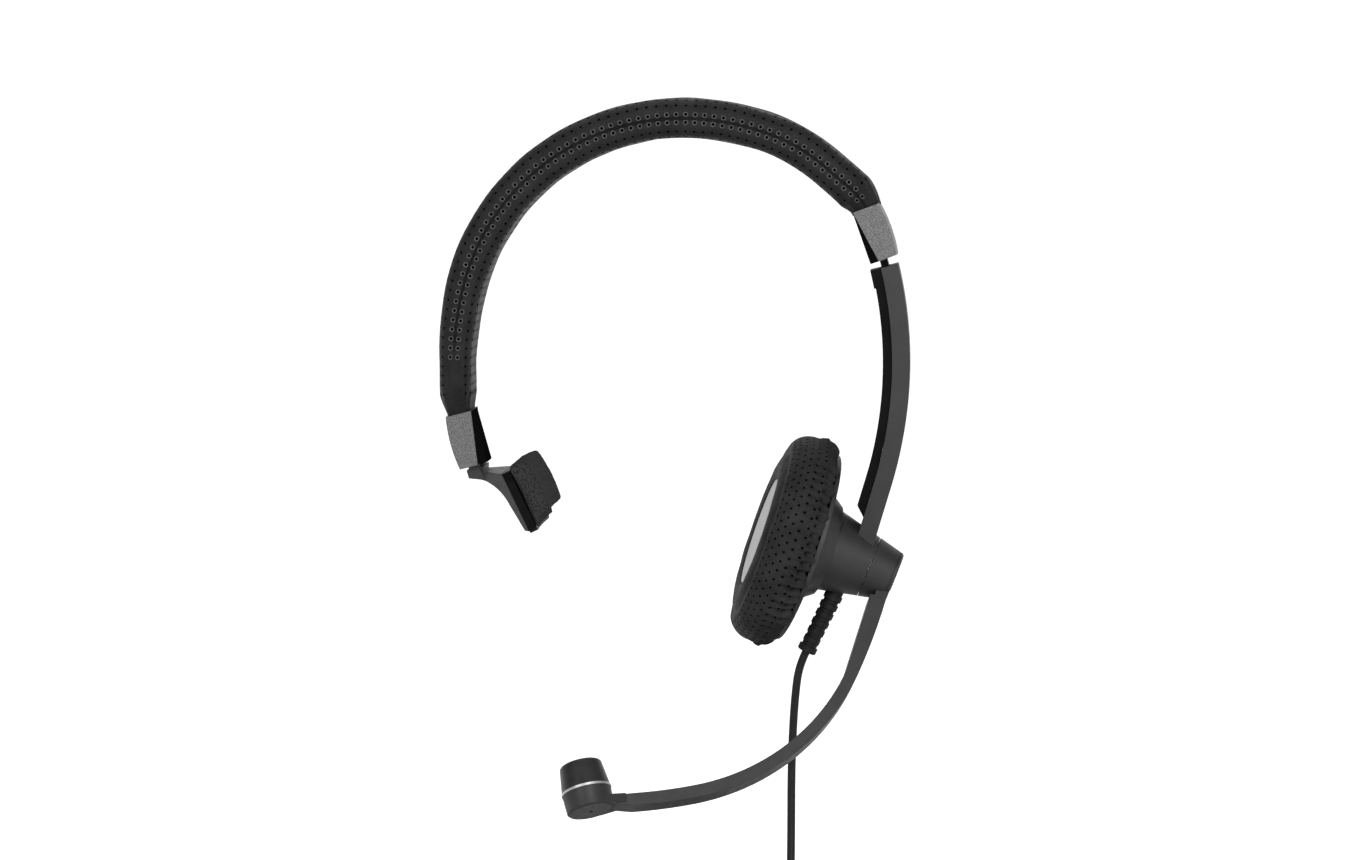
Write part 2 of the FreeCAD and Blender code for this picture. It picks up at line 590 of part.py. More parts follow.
def pad_parts():
    """Ear cushion: a foam ring in a cover that wraps it to the cup's rim, and the cloth across its hole."""
    skin, gap, bend = "pad_skin", "(pad_skin + 0.1)", "(pad_back - 4.5)"
    rim = "pad_radius - pad_rear + sqrt(pad_rear ^ 2 - 4.5 ^ 2)"
    lip = f"pad_radius - pad_rear + sqrt((pad_rear - {skin}) ^ 2 - 4.2 ^ 2)"
    named(turned("cushion_cover", CUP, [
        ("pad_hole", "pad_seat"), ("pad_hole", "pad_front + 2.5", "2.5"), ("pad_hole + 2.5", "pad_front"),
        ("pad_radius - 7", "pad_front", "7"), ("pad_radius", "pad_front + 7"), ("pad_radius", bend, "pad_rear"),
        (rim, "pad_back"), (lip, "pad_back"), (lip, "pad_back - 0.3", f"-(pad_rear - {skin})"),
        (f"pad_radius - {skin}", bend), (f"pad_radius - {skin}", "pad_front + 7", f"-(7 - {skin})"),
        ("pad_radius - 7", f"pad_front + {skin}"), ("pad_hole + 2.5", f"pad_front + {skin}", f"-(2.5 - {skin})"),
        (f"pad_hole + {skin}", "pad_front + 2.5"), (f"pad_hole + {skin}", "pad_seat")]), "cushion_cover")
    heel = f"pad_radius - pad_rear + sqrt((pad_rear - {gap}) ^ 2 - (pad_seat - {bend}) ^ 2)"
    named(turned("cushion_foam", CUP, [
        (f"pad_hole + {gap}", "pad_seat"), (f"pad_hole + {gap}", "pad_front + 2.5", f"2.5 - {gap}"),
        ("pad_hole + 2.5", f"pad_front + {gap}"), ("pad_radius - 7", f"pad_front + {gap}", f"7 - {gap}"),
        (f"pad_radius - {gap}", "pad_front + 7"), (f"pad_radius - {gap}", bend, f"pad_rear - {gap}"),
        (heel, "pad_seat")]), "cushion_foam")
    named(turned("speaker_cloth", CUP, rectangle("0", "pad_front + 0.2", "pad_hole - 0.1",
                                                 "pad_front + 0.2 + cloth_thick")), "speaker_cloth")


# ---------------------------------------------------------------- boom and microphone

def boom_point(centre, radius, angle):
    """Point of the boom's plane on an arc where the boom has turned in by the angle."""
    return f"{centre[0]} + ({radius}) * sin({angle})", f"{centre[1]} + ({radius}) * cos({angle})"


def arc_onward(centre, radius, next_radius, angle):
    """Centre of the boom's next arc, where it follows on smoothly at the angle."""
    return tuple(f"({text})" for text in boom_point(centre, f"{radius} - {next_radius}", angle))


BOOM_START = ("(boom_straight * cos(boom_lean) + boom_start_radius * sin(boom_lean))",
              "(boom_seat + boom_straight * sin(boom_lean) - boom_start_radius * cos(boom_lean))")
BOOM_BEND = arc_onward(BOOM_START, "boom_start_radius", "boom_bend_radius", "boom_start_end")
BOOM_TIP = arc_onward(BOOM_BEND, "boom_bend_radius", "boom_tip_radius", "boom_bend_end")
MIC = f"{BOOM} * {at('mic_x', 0, 'mic_z')} * {turn('y', '180 + mic_turn')}"


def root_slot(body):
    """Slot in the rotor or its cap for the boom's root."""
    floor = "boom_seat - 0.05 - boom_thick / 2 / cos(boom_lean)"
    slot = outline(sketch_in(body, "XZ"), [
        ("boom_root - 0.6", f"{floor} + (boom_root - 0.6) * tan(boom_lean)"),
        ("14", f"{floor} + 14 * tan(boom_lean)"), ("14", "cap_end + 3"), ("boom_root - 0.6", "cap_end + 3")])
    pocket(body, slot, "boom_width + 0.1")
    return body


def boom_parts():
    cone = "hub_radius - hub_slope * "
    rotor = turned("boom_rotor", BOOM, [
        ("bush_radius + turn_play", "barrel_end + 0.1"), (f"{cone} barrel_end", "barrel_end + 0.1"),
        (f"{cone} rotor_end", "rotor_end - 0.1"), ("6.2", "rotor_end - 0.1"), ("6.2", "16.8"),
        ("bush_radius + turn_play", "16.8")])
    named(root_slot(rotor), "boom_rotor")
    cap = turned("rotor_cap", BOOM, [
        ("0", "rotor_end"), (f"{cone} rotor_end", "rotor_end"), (f"{cone} rotor_end - 0.1", "cap_end - 0.5"),
        (f"{cone} rotor_end - 0.7", "cap_end"), ("0", "cap_end")])
    named(root_slot(cap), "rotor_cap")
    named(boolean("Fuse", "boom_arm", boom_strip(), mic_housing()), "boom_arm")


def boom_strip():
    body = new_body("boom_strip", BOOM)
    half = "(boom_thick / 2)"

    def straight(distance, side, extra="0"):
        reach = f"({half} + {extra})"
        return (f"({distance}) * cos(boom_lean) + {side} * {reach} * sin(-boom_lean)",
                f"boom_seat + ({distance}) * sin(boom_lean) + {side} * {reach} * cos(boom_lean)")

    def arc_side(centre, radius, angle, side):
        reach = f"({radius} + {side} * {half})"
        return boom_point(centre, reach, angle) + (f"-{side} * {reach}",)

    def housing(x, z):
        return (f"mic_x - ({x}) * cos(mic_turn) - ({z}) * sin(mic_turn)",
                f"mic_z + ({x}) * sin(mic_turn) - ({z}) * cos(mic_turn)")

    wall = "mic_ring_radius - 0.6"
    pad(body, outline(sketch_in(body, "XZ"), [
        straight("boom_root", 1), straight("boom_straight", 1) + (f"-(boom_start_radius + {half})",),
        arc_side(BOOM_BEND, "boom_bend_radius", "boom_start_end", 1),
        arc_side(BOOM_TIP, "boom_tip_radius", "boom_bend_end", 1),
        boom_point(BOOM_TIP, f"(boom_tip_radius + {half})", "boom_tip_end"),
        housing(wall, "0.1 - mic_half"), housing(wall, "-0.3"),
        arc_side(BOOM_TIP, "boom_tip_radius", "boom_tip_end", -1),
        arc_side(BOOM_BEND, "boom_bend_radius", "boom_bend_end", -1),
        boom_point(BOOM_BEND, f"(boom_bend_radius - {half})", "boom_start_end"),
        straight("boom_heel", -1, "boom_heel_thick"), straight("boom_heel", -1),
        straight("boom_root", -1)]), "boom_width")
    return body


def mic_housing():
    """Lower cup of the microphone with its port, and the web that carries it on the boom."""
    body = turned("mic_housing", MIC, [
        ("0.6", "-mic_half"), ("mic_disc_radius - 0.5", "-mic_half"), ("mic_disc_radius", "-mic_half + 0.5"),
        ("mic_ring_radius - 0.1", "mic_half"), ("mic_ring_radius - 0.1 - mic_wall", "mic_half"),
        ("mic_ring_radius - 0.1 - mic_wall", "-mic_half + 1.2"), ("0.6", "-mic_half + 1.2")])
    rim = "(mic_ring_radius - 0.35)"
    web = [(f"{rim} / 2", f"-{rim} * sin(60)"), ("mic_web", "-boom_width / 2"),
           ("mic_web", "boom_width / 2"), (f"{rim} / 2", f"{rim} * sin(60)", f"-{rim}")]
    pad(body, outline(sketch_in(body, "XY", at(0, 0, "-(mic_half + 0.2) / 2")), web), "mic_half - 0.4")
    return body


def mic_parts():
    named(turned("mic_ring", MIC, rectangle("mic_ring_radius - 1.3", "mic_half", "mic_ring_radius + 0.05",
                                            "mic_half + mic_ring_height")), "mic_ring")
    low, top = "(mic_half + mic_ring_height)", "(mic_half + mic_ring_height + mic_cap_height)"
    named(turned("mic_cap", MIC, [
        ("mic_ring_radius - 0.1 - mic_wall", low), ("mic_ring_radius - 0.1", low),
        ("mic_top_radius + 0.1", f"{top} - 1", "1.1"), ("mic_top_radius - 0.9", top), ("0", top),
        ("0", f"{top} - mic_wall"), (f"mic_top_radius - 1", f"{top} - mic_wall"),
        ("mic_top_radius - mic_wall", f"{top} - 2")]), "mic_cap")
    named(turned("mic_capsule", MIC, rectangle("0", "-0.7", "4.0", "3.8")), "mic_capsule")
    named(turned("mic_boot", MIC, rectangle("4.05", "-1.4", "5.8", "2.4")), "mic_boot")


# ---------------------------------------------------------------- temple rest

def temple_sector(body, depth_in, depth_out, half, top, low):
    """Pads a plate curved round the head; depths are measured from the plate's middle towards the head."""
    inner, outer = f"(temple_curve - ({depth_out}))", f"(temple_curve - ({depth_in}))"
    angle = f"asin(({half}) / temple_curve)"
    points = []
    for radius, side, bend in ((outer, -1, f"-{outer}"), (outer, 1, None), (inner, 1, inner),
                               (inner, -1, None)):
        spot = (f"temple_curve - {radius} * cos({angle})", f"{side} * {radius} * sin({angle})")
        points.append(spot + ((bend,) if bend else ()))
    sketch = outline(sketch_in(body, "XY", at(0, 0, f"(({top}) + ({low})) / 2")), points)
    pad(body, sketch, f"({top}) - ({low})")


def temple_parts():
    plate = new_body("temple_plate", TEMPLE)
    temple_sector(plate, "-temple_plate / 2", "temple_plate / 2", "temple_half", "0.4", "-temple_height")
    named(rounded(plate, "5", lambda edge: abs(direction(edge).x) > 0.9), "temple_plate")
    foam = new_body("temple_foam", TEMPLE)
    face, deep = "temple_plate / 2 + 0.05", "temple_plate / 2 + temple_foam"
    temple_sector(foam, face, deep, "temple_half - 1", "1.4", "-15.5")
    temple_sector(foam, face, "temple_plate / 2 + 1.6", "temple_half - 1", "-15", "-18.2")
    named(foam, "temple_foam")
    bracket = new_body("temple_bracket", TEMPLE)
    back = "-temple_plate / 2"
    pad(bracket, outline(sketch_in(bracket, "XZ"), [
        ("-9.1", "5.8"), ("-11.2", "5.3"), ("-11.6", "2.9"), ("-8.6", "1.1", "-13.1"), ("-3.5", "-8.5"),
        ("-2.5", "-17.7"), (back, "-18.4"), (back, "0.2"), ("-6.5", "2.9"), ("-5.9", "4.2")]),
        "temple_root_width")
    flanks = sketch_in(bracket, "XY")
    for side in ("", "-"):
        wide, slim = f"{side}(temple_root_width / 2 + 1)", f"{side}temple_arm_width / 2"
        corners = [("-14", slim), ("-7.5", slim), ("0", wide), ("-14", wide)]
        outline(flanks, corners if side == "" else corners[::-1])
    pocket(bracket, flanks, "60")
    tongue = block("temple_tongue", f"{TEMPLE_SLEEVE} * {at(0, 0, -18.2)}", "3", "temple_arm_width", "12")
    arm = boolean("Fuse", "temple_arm_solid", bracket, tongue)
    named(boolean("Cut", "temple_arm", arm, rivet_group("temple_holes", "0.05")), "temple_arm")


# ---------------------------------------------------------------- strain relief, cord, coil and plug

def strain_relief():
    """A tapered, ribbed sleeve that ends in a collar."""
    ribs, first, collar = 6, 11.5, 1.9
    pitch = (number("relief_end") - collar - first) / ribs
    points = [("0", "relief_start"), ("relief_neck", "relief_start"), ("relief_neck", first)]
    for i in range(ribs):
        start = first + pitch * i
        radius = f"relief_radius - 0.05 * {i}"
        points += [(radius, start), (radius, start + pitch * 0.58)]
        points += [("relief_neck - 0.1", start + pitch * 0.66), ("relief_neck - 0.1", start + pitch * 0.94)]
    points += [("relief_radius + 0.05", f"relief_end - {collar}"),
               ("relief_radius + 0.05", "relief_end - 0.3"),
               ("relief_radius - 0.3", "relief_end"), ("0", "relief_end")]
    named(turned("strain_relief", RELIEF, points), "strain_relief")


def cord_tube(name, route):
    """A tube along straight runs joined by tangent arcs, in the plane y = 0."""
    points = [Vector(x, 0, z) for x, z in route]
    edges = []
    start = points[0]
    for before, corner, after in zip(points, points[1:], points[2:]):
        to_corner, onward = (corner - before), (after - corner)
        half_turn = to_corner.getAngle(onward) / 2
        reach = 0.45 * min(to_corner.Length, onward.Length)
        to_corner.normalize()
        onward.normalize()
        arc_start, arc_end = corner - to_corner * reach, corner + onward * reach
        radius = reach / math.tan(half_turn)
        print(f"{name}: turn {math.degrees(2 * half_turn):.1f} degrees, radius {radius:.1f} mm")
        inside = (onward - to_corner).normalize()
        middle = corner + inside * (radius / math.cos(half_turn) - radius)
        edges.append(Part.LineSegment(start, arc_start).toShape())
        edges.append(Part.Arc(arc_start, middle, arc_end).toShape())
        start = arc_end
    edges.append(Part.LineSegment(start, points[-1]).toShape())
    path = Part.Wire(edges)
    section = Part.Wire([Part.makeCircle(number("cord_radius"), points[0], points[1] - points[0])])
    tube = doc.addObject("Part::Feature", name)
    tube.Shape = path.makePipeShell([section], True, False)
    expected = math.pi * number("cord_radius") ** 2 * path.Length
    print(f"{name}: {path.Length:.1f} mm long, volume {tube.Shape.Volume / expected:.4f} of its length's")
    return named(tube, name)


def cord_parts():
    strain_relief()
    entry = number("coil_z + sqrt((coil_radius + coil_section) ^ 2 - coil_radius ^ 2)")
    cord_tube("cord", CORD_ROUTE + [(number("coil_x + coil_radius"), entry)])
    cord_tube("cord_tail", TAIL_ROUTE)
    coil = doc.addObject("Part::Torus", "cord_coil")
    bind(coil, "Radius1", "coil_radius")
    bind(coil, "Radius2", "coil_section")
    named(placed(coil, f"{at('coil_x', 0, 'coil_z')} * {turn('x', 90)}"), "cord_coil")
    tie = turned("cord_tie", f"{at('coil_x', 0, 'coil_z')} * {turn('y', 90)} * {at('-coil_radius', 0, 0)}",
                 rectangle("coil_section + 0.3", "-tie_width / 2", "coil_section + 0.3 + tie_thick",
                           "tie_width / 2"))
    named(tie, "cord_tie")


def plug_parts():
    """USB plug: moulded grip with a neck for the cord, metal shell, tongue and contacts."""
    plug = at("plug_x", 0, "plug_z")
    grip = new_body("usb_grip", plug)
    pad(grip, outline(sketch_in(grip, "XY", at(0, 0, "-grip_neck - grip_length / 2")),
                      rounded_rectangle("grip_width / 2", "grip_thick / 2", "2.5")), "grip_length")
    neck = outline(sketch_in(grip, "XZ"), [("0", "0"), ("2.3", "0"), ("3.6", "-grip_neck - 0.5"),
                                           ("0", "-grip_neck - 0.5")])
    feature(grip, "Revolution", neck, Angle="360", ReferenceAxis=(neck, ["V_Axis"]))
    hole = outline(sketch_in(grip, "XY", at(0, 0, "-grip_neck - grip_length")),
                   rectangle("-usb_width / 2", "-usb_height / 2", "usb_width / 2", "usb_height / 2"))
    pocket(grip, hole, "12")
    named(grip, "usb_grip")
    shell = new_body("usb_shell", plug)
    middle = "-grip_neck - grip_length - usb_reach / 2 + 3"
    frame = sketch_in(shell, "XY", at(0, 0, middle))
    outline(frame, rounded_rectangle("usb_width / 2 - 0.02", "usb_height / 2 - 0.02", "0.5"))
    outline(frame, rectangle("-usb_width / 2 + usb_wall", "-usb_height / 2 + usb_wall",
                             "usb_width / 2 - usb_wall", "usb_height / 2 - usb_wall"))
    pad(shell, frame, "usb_reach + 6")
    slots = sketch_in(shell, "XZ")
    for side in (-1, 1):
        outline(slots, rectangle(f"{side} * 2.9 - 1.1", "-grip_neck - grip_length - 6.6",
                                 f"{side} * 2.9 + 1.1", "-grip_neck - grip_length - 4.4"))
    pocket(shell, slots, "10")
    named(shell, "usb_shell")
    low = "-grip_neck - grip_length - usb_reach + 0.4"
    named(block("usb_tongue", f"{plug} * {at(0, 'usb_height / 2 - usb_wall - 0.95', low)}",
                "usb_width - 2 * usb_wall - 0.1", "1.9", "usb_reach + 5"), "usb_tongue")
    contacts = []
    for i in range(4):
        spot = f"{plug} * {at(2.3 * i - 3.45, 'usb_height / 2 - usb_wall - 1.99', low + ' + 1')}"
        contacts.append(block(f"usb_contact_{i}", spot, "1.1", "0.16", "7.5"))
    group = doc.addObject("Part::Compound", "usb_contacts")
    group.Links = contacts
    doc.recompute()
    named(group, "usb_contacts")


# ---------------------------------------------------------------- build, check and write

def check_and_write():
    doc.recompute()
    for thing in doc.Objects:
        if "Invalid" in thing.State or "Error" in thing.State:
            raise RuntimeError(f"{thing.Name} ({thing.Label}) failed: {thing.State}")
    for node in nodes:
        if node.Shape.isNull() or not node.Shape.isValid():
            raise RuntimeError(f"{node.Label} has no valid shape")
        if not node.Shape.Solids:
            raise RuntimeError(f"{node.Label} holds no solid")
    os.makedirs("parts", exist_ok=True)
    for node in nodes:
        node.Shape.exportStep(f"parts/{node.Label}.step")
    print(f"{len(nodes)} nodes written")


for make in (band_parts, sleeve_parts, slider_blade, arm_parts, arm_trim, detent_spring, hub_inside,
             swivel_parts, cup_parts, boom_parts, mic_parts, temple_parts, cord_parts, plug_parts):
    make()
check_and_write()
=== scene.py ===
import bisect
import math
import random

import bmesh
import bpy
from mathutils import Matrix, Vector, noise


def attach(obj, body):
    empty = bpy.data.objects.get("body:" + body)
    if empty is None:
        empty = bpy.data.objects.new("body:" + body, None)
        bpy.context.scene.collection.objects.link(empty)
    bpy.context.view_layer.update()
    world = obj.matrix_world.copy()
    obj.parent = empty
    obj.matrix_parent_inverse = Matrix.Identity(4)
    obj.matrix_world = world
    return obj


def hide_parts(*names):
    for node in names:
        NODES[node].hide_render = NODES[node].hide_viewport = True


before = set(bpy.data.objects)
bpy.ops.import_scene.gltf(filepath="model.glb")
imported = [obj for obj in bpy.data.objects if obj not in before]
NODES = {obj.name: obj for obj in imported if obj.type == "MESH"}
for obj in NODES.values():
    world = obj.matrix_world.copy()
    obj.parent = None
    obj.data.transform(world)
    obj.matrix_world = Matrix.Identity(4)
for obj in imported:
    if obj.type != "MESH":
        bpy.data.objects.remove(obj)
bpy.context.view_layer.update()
MM = 0.001                                      # shapes are in millimetres here, the frame is in metres


def add_object(name, data):
    made = bpy.data.objects.new(name, data)
    bpy.context.scene.collection.objects.link(made)
    return made


# ---------------------------------------------------------------- camera and view

VIEW_AZIMUTH, VIEW_ELEVATION = math.radians(3.5), math.radians(4.5)
VIEW_DISTANCE = 1.4
VIEW_CENTRE = Vector((0.0, 0.0, -0.08647))
FOCAL_LENGTH, SENSOR_WIDTH = 125.4, 36.0
NEAREST, FARTHEST = 0.1, 400.0


def make_camera():
    level = math.cos(VIEW_ELEVATION)
    back = Vector((math.sin(VIEW_AZIMUTH) * level, -math.cos(VIEW_AZIMUTH) * level,
                   math.sin(VIEW_ELEVATION)))
    data = bpy.data.cameras.new("camera")
    data.lens, data.sensor_width = FOCAL_LENGTH, SENSOR_WIDTH
    data.clip_start, data.clip_end = NEAREST, FARTHEST
    camera = add_object("camera", data)
    camera.location = VIEW_CENTRE + back * VIEW_DISTANCE
    camera.rotation_euler = (-back).to_track_quat("-Z", "Y").to_euler()
    bpy.context.scene.camera = camera
    bpy.context.scene.view_settings.view_transform = "Standard"


# ---------------------------------------------------------------- materials

NOISE_SPAN = (0.3, 0.7)                         # values that most of a noise texture lies between


def map_range(tree, value, span, new_span, kind="LINEAR"):
    """Node output that runs over new_span as value runs over span."""
    made = tree.nodes.new("ShaderNodeMapRange")
    made.interpolation_type = kind
    for key, number in zip(("From Min", "From Max", "To Min", "To Max"), (*span, *new_span)):
        made.inputs[key].default_value = number
    tree.links.new(value, made.inputs["Value"])
    return made.outputs["Result"]


class Look:
    """A procedural material, built up in layers over object coordinates; its sizes are in millimetres."""

    def __init__(self, name, edge=0.0, **sockets):
        """`edge` is the radius that sharp edges seem rounded by. Sockets are named with _ for a space."""
        self.name = name
        self.material = bpy.data.materials.new(name)
        self.material.use_nodes = True
        self.tree = self.material.node_tree
        self.shader = self.tree.nodes["Principled BSDF"]
        for key, value in sockets.items():
            self.shader.inputs[key.replace("_", " ")].default_value = value
        self.coordinates = self.node("ShaderNodeTexCoord")
        self.place = self.coordinates.outputs["Object"]
        self.normal = None
        if edge:
            soft = self.node("ShaderNodeBevel", samples=4)
            soft.inputs["Radius"].default_value = edge * MM
            self.normal = soft.outputs["Normal"]

    def node(self, kind, **settings):
        made = self.tree.nodes.new(kind)
        for key, value in settings.items():
            setattr(made, key, value)
        return made

    def link(self, a, b):
        self.tree.links.new(a, b)

    def pressed(self, x, y, z):
        """Object coordinates that press a pattern together by axis."""
        made = self.node("ShaderNodeMapping")
        made.inputs["Scale"].default_value = (x, y, z)
        self.link(self.place, made.inputs["Vector"])
        return made.outputs["Vector"]

    def noise(self, size, detail=3.0, place=None):
        """Noise with features about `size` across."""
        made = self.node("ShaderNodeTexNoise")
        made.inputs["Scale"].default_value = 1.0 / (size * MM)
        made.inputs["Detail"].default_value = detail
        self.link(place or self.place, made.inputs["Vector"])
        return made.outputs["Fac"]

    def cells(self, size, feature="F1", jitter=1.0):
        """Distance within cells about `size` across: from their centres, or to their edges."""
        made = self.node("ShaderNodeTexVoronoi", feature=feature)
        made.inputs["Scale"].default_value = 1.0 / (size * MM)
        made.inputs["Randomness"].default_value = jitter
        self.link(self.place, made.inputs["Vector"])
        return made.outputs["Distance"]

    def ranged(self, value, span, new_span):
        return map_range(self.tree, value, span, new_span)

    def ramp(self, value, dark, light, span):
        """Colour that runs from dark to light as value runs over span."""
        made = self.node("ShaderNodeValToRGB")
        for stop, where, tint in zip(made.color_ramp.elements, span, (dark, light)):
            stop.position = where
            stop.color = (*tint, 1.0)
        self.link(value, made.inputs["Fac"])
        return made.outputs["Color"]

    def color(self, value, dark, light, span=NOISE_SPAN):
        self.link(self.ramp(value, dark, light, span), self.shader.inputs["Base Color"])

    def rough(self, value, low, high):
        self.link(self.ranged(value, NOISE_SPAN, (low, high)), self.shader.inputs["Roughness"])

    def bump(self, height, depth, strength=1.0):
        """A relief `depth` high, over the layers before it."""
        made = self.node("ShaderNodeBump")
        made.inputs["Strength"].default_value = strength
        made.inputs["Distance"].default_value = depth * MM
        self.link(height, made.inputs["Height"])
        if self.normal is not None:
            self.link(self.normal, made.inputs["Normal"])
        self.normal = made.outputs["Normal"]
        self.link(self.normal, self.shader.inputs["Normal"])


def grey(value, blue=1.0):
    return (value, value, value * blue)


def moulded(name, dark, light, rough, grain=0.35, depth=0.012, shine=0.28):
    """Moulded plastic with a fine eroded texture, faint flow marks and slightly rounded edges."""
    look = Look(name, edge=0.25, Specular_IOR_Level=shine)
    look.color(look.noise(9.0), dark, light, (0.35, 0.68))
    look.rough(look.noise(2.2, 5.0), rough - 0.05, rough + 0.08)
    look.bump(look.noise(grain, 2.0), depth)
    look.bump(look.noise(14.0, 1.0), 0.05, 0.4)
    return look


def leather(name, dark, light, rough, pore, depth, shine=0.11):
    """Soft coated fabric: pebbled grain with creases between the pebbles, and uneven sheen."""
    look = Look(name, Specular_IOR_Level=shine)
    look.color(look.noise(6.0, 4.0), dark, light, (0.3, 0.72))
    look.rough(look.noise(1.6, 4.0), rough - 0.06, rough + 0.10)
    pebbles = look.cells(pore, "DISTANCE_TO_EDGE")
    look.bump(look.ranged(pebbles, (0.0, 0.22), (0.0, 1.0)), depth)
    look.bump(look.noise(0.22, 2.0), depth * 0.35)
    return look


def brushed(name, dark, light, rough, press=(1.0, 1.0, 1.0)):
    """Metal with a fine pattern, pressed together by axis, which draws it out into lines."""
    look = Look(name, Metallic=1.0)
    lines = look.noise(0.25, place=look.pressed(*press))
    look.color(lines, dark, light)
    look.rough(lines, rough - 0.06, rough + 0.08)
    look.bump(lines, 0.006)
    return look


def sleeve_metal(name, to_head):
    """Satin metal, with painted shade: near black, without metal or shine, where a face turns towards the
    head; `to_head` is that direction.
    """
    look = Look(name, edge=0.3, Metallic=0.5, Specular_IOR_Level=0.35)
    facing = look.node("ShaderNodeVectorMath", operation="DOT_PRODUCT")
    look.link(look.coordinates.outputs["Normal"], facing.inputs[0])
    facing.inputs[1].default_value = to_head

    def by_side(satin, black):
        return look.ranged(facing.outputs["Value"], (0.22, 0.38), (satin, black))

    speck = look.noise(0.35, 4.0)
    # Painted shade: faces turned towards the head get a near-black colour in place of the satin, standing
    # in for the shade they lie in.
    satin_or_painted_shade = look.node("ShaderNodeMix", data_type="RGBA")
    look.link(by_side(0.0, 1.0), satin_or_painted_shade.inputs["Factor"])
    look.link(look.ramp(speck, grey(0.052, 1.02), grey(0.145, 1.02), (0.38, 0.63)), satin_or_painted_shade.inputs["A"])
    satin_or_painted_shade.inputs["B"].default_value = (*grey(0.004), 1.0)
    look.link(satin_or_painted_shade.outputs["Result"], look.shader.inputs["Base Color"])
    look.link(by_side(0.5, 0.0), look.shader.inputs["Metallic"])
    look.link(by_side(0.35, 0.0), look.shader.inputs["Specular IOR Level"])
    look.rough(look.noise(1.1), 0.34, 0.48)
    look.bump(speck, 0.02)
    return look


def rubbery(name, patches, sheen, rough, grain, depth):
    """Soft dark plastic: colour in patches, sheen in smaller ones, and a grain of a size and detail."""
    look = Look(name, Specular_IOR_Level=0.15)
    look.color(look.noise(patches), grey(0.006), grey(0.010))
    look.rough(look.noise(sheen, 4.0), *rough)
    look.bump(look.noise(*grain), depth)
    return look


def open_foam_look():
    """Coarse open cells with painted shade: darker in the hollows between their raised middles, on a worn
    surface.
    """
    look = Look("temple_foam", Specular_IOR_Level=0.05)
    cells = look.cells(0.42)
    look.color(cells, grey(0.040), grey(0.012), (0.15, 0.75))
    look.rough(look.noise(1.0), 0.90, 1.0)
    look.bump(look.ranged(cells, (0.0, 0.9), (1.0, 0.0)), 0.16)
    look.bump(look.noise(1.3, 4.0), 0.12)
    return look


def pad_foam_look():
    look = Look("pad_foam", Specular_IOR_Level=0.15)
    pores = look.cells(0.6)
    look.color(pores, grey(0.10), grey(0.03), (0.1, 0.8))
    look.rough(look.noise(1.0), 0.88, 1.0)
    look.bump(pores, 0.1)
    return look


def circuit_board_look():
    look = Look("circuit_board", Specular_IOR_Level=0.5)
    tracks = look.cells(1.1, "DISTANCE_TO_EDGE", 0.4)
    look.color(tracks, (0.10, 0.24, 0.05), (0.01, 0.09, 0.03), (0.04, 0.14))
    look.rough(look.noise(1.0), 0.25, 0.40)
    look.bump(tracks, 0.03)
    return look


def driver_film_look():
    look = Look("driver_film", Specular_IOR_Level=0.6, Coat_Weight=0.2)
    look.color(look.noise(4.0), (0.30, 0.24, 0.15), (0.42, 0.35, 0.23))
    look.rough(look.noise(1.5), 0.20, 0.34)
    look.bump(look.noise(0.8), 0.03)
    return look


def speaker_cloth_look():
    """Light knitted cloth: rows of small loops."""
    look = Look("speaker_cloth", Specular_IOR_Level=0.15, Sheen_Weight=0.35, Sheen_Roughness=0.5)
    loops = look.cells(0.46, jitter=0.25)
    look.color(loops, grey(0.44, 1.01), grey(0.29, 1.01), (0.10, 0.62))
    look.rough(look.noise(1.2), 0.78, 0.92)
    look.bump(look.ranged(loops, (0.0, 0.7), (1.0, 0.0)), 0.08)
    look.bump(look.noise(3.0, 2.0), 0.12)
    return look


def tie_strap_look():
    """Hook-and-loop tape: fuzz over a fine weave."""
    look = Look("tie_strap", Specular_IOR_Level=0.15, Sheen_Weight=0.5, Sheen_Roughness=0.6)
    fuzz = look.noise(0.18, 5.0)
    look.color(fuzz, grey(0.007), grey(0.022))
    look.rough(look.noise(1.0), 0.85, 0.97)
    look.bump(fuzz, 0.12)
    look.bump(look.cells(0.55, jitter=0.3), 0.06)
    return look


def punched_hole_look():
    """Painted shade: the near-black inside of a small hole, standing in for the shade down the hole."""
    look = Look("punched_hole", Specular_IOR_Level=0.02)
    look.color(look.noise(0.5), grey(0.0004), grey(0.0009))
    look.rough(look.noise(1.0), 0.9, 1.0)
    return look


def hole_rim_look():
    """The lighter lip round a stitch hole: painted highlight where the raised lip catches the light."""
    look = Look("hole_rim", Specular_IOR_Level=0.3)
    look.color(look.noise(0.4), grey(0.028), grey(0.065))
    look.rough(look.noise(1.0), 0.45, 0.65)
    look.bump(look.noise(0.12, 2.0), 0.03)
    return look


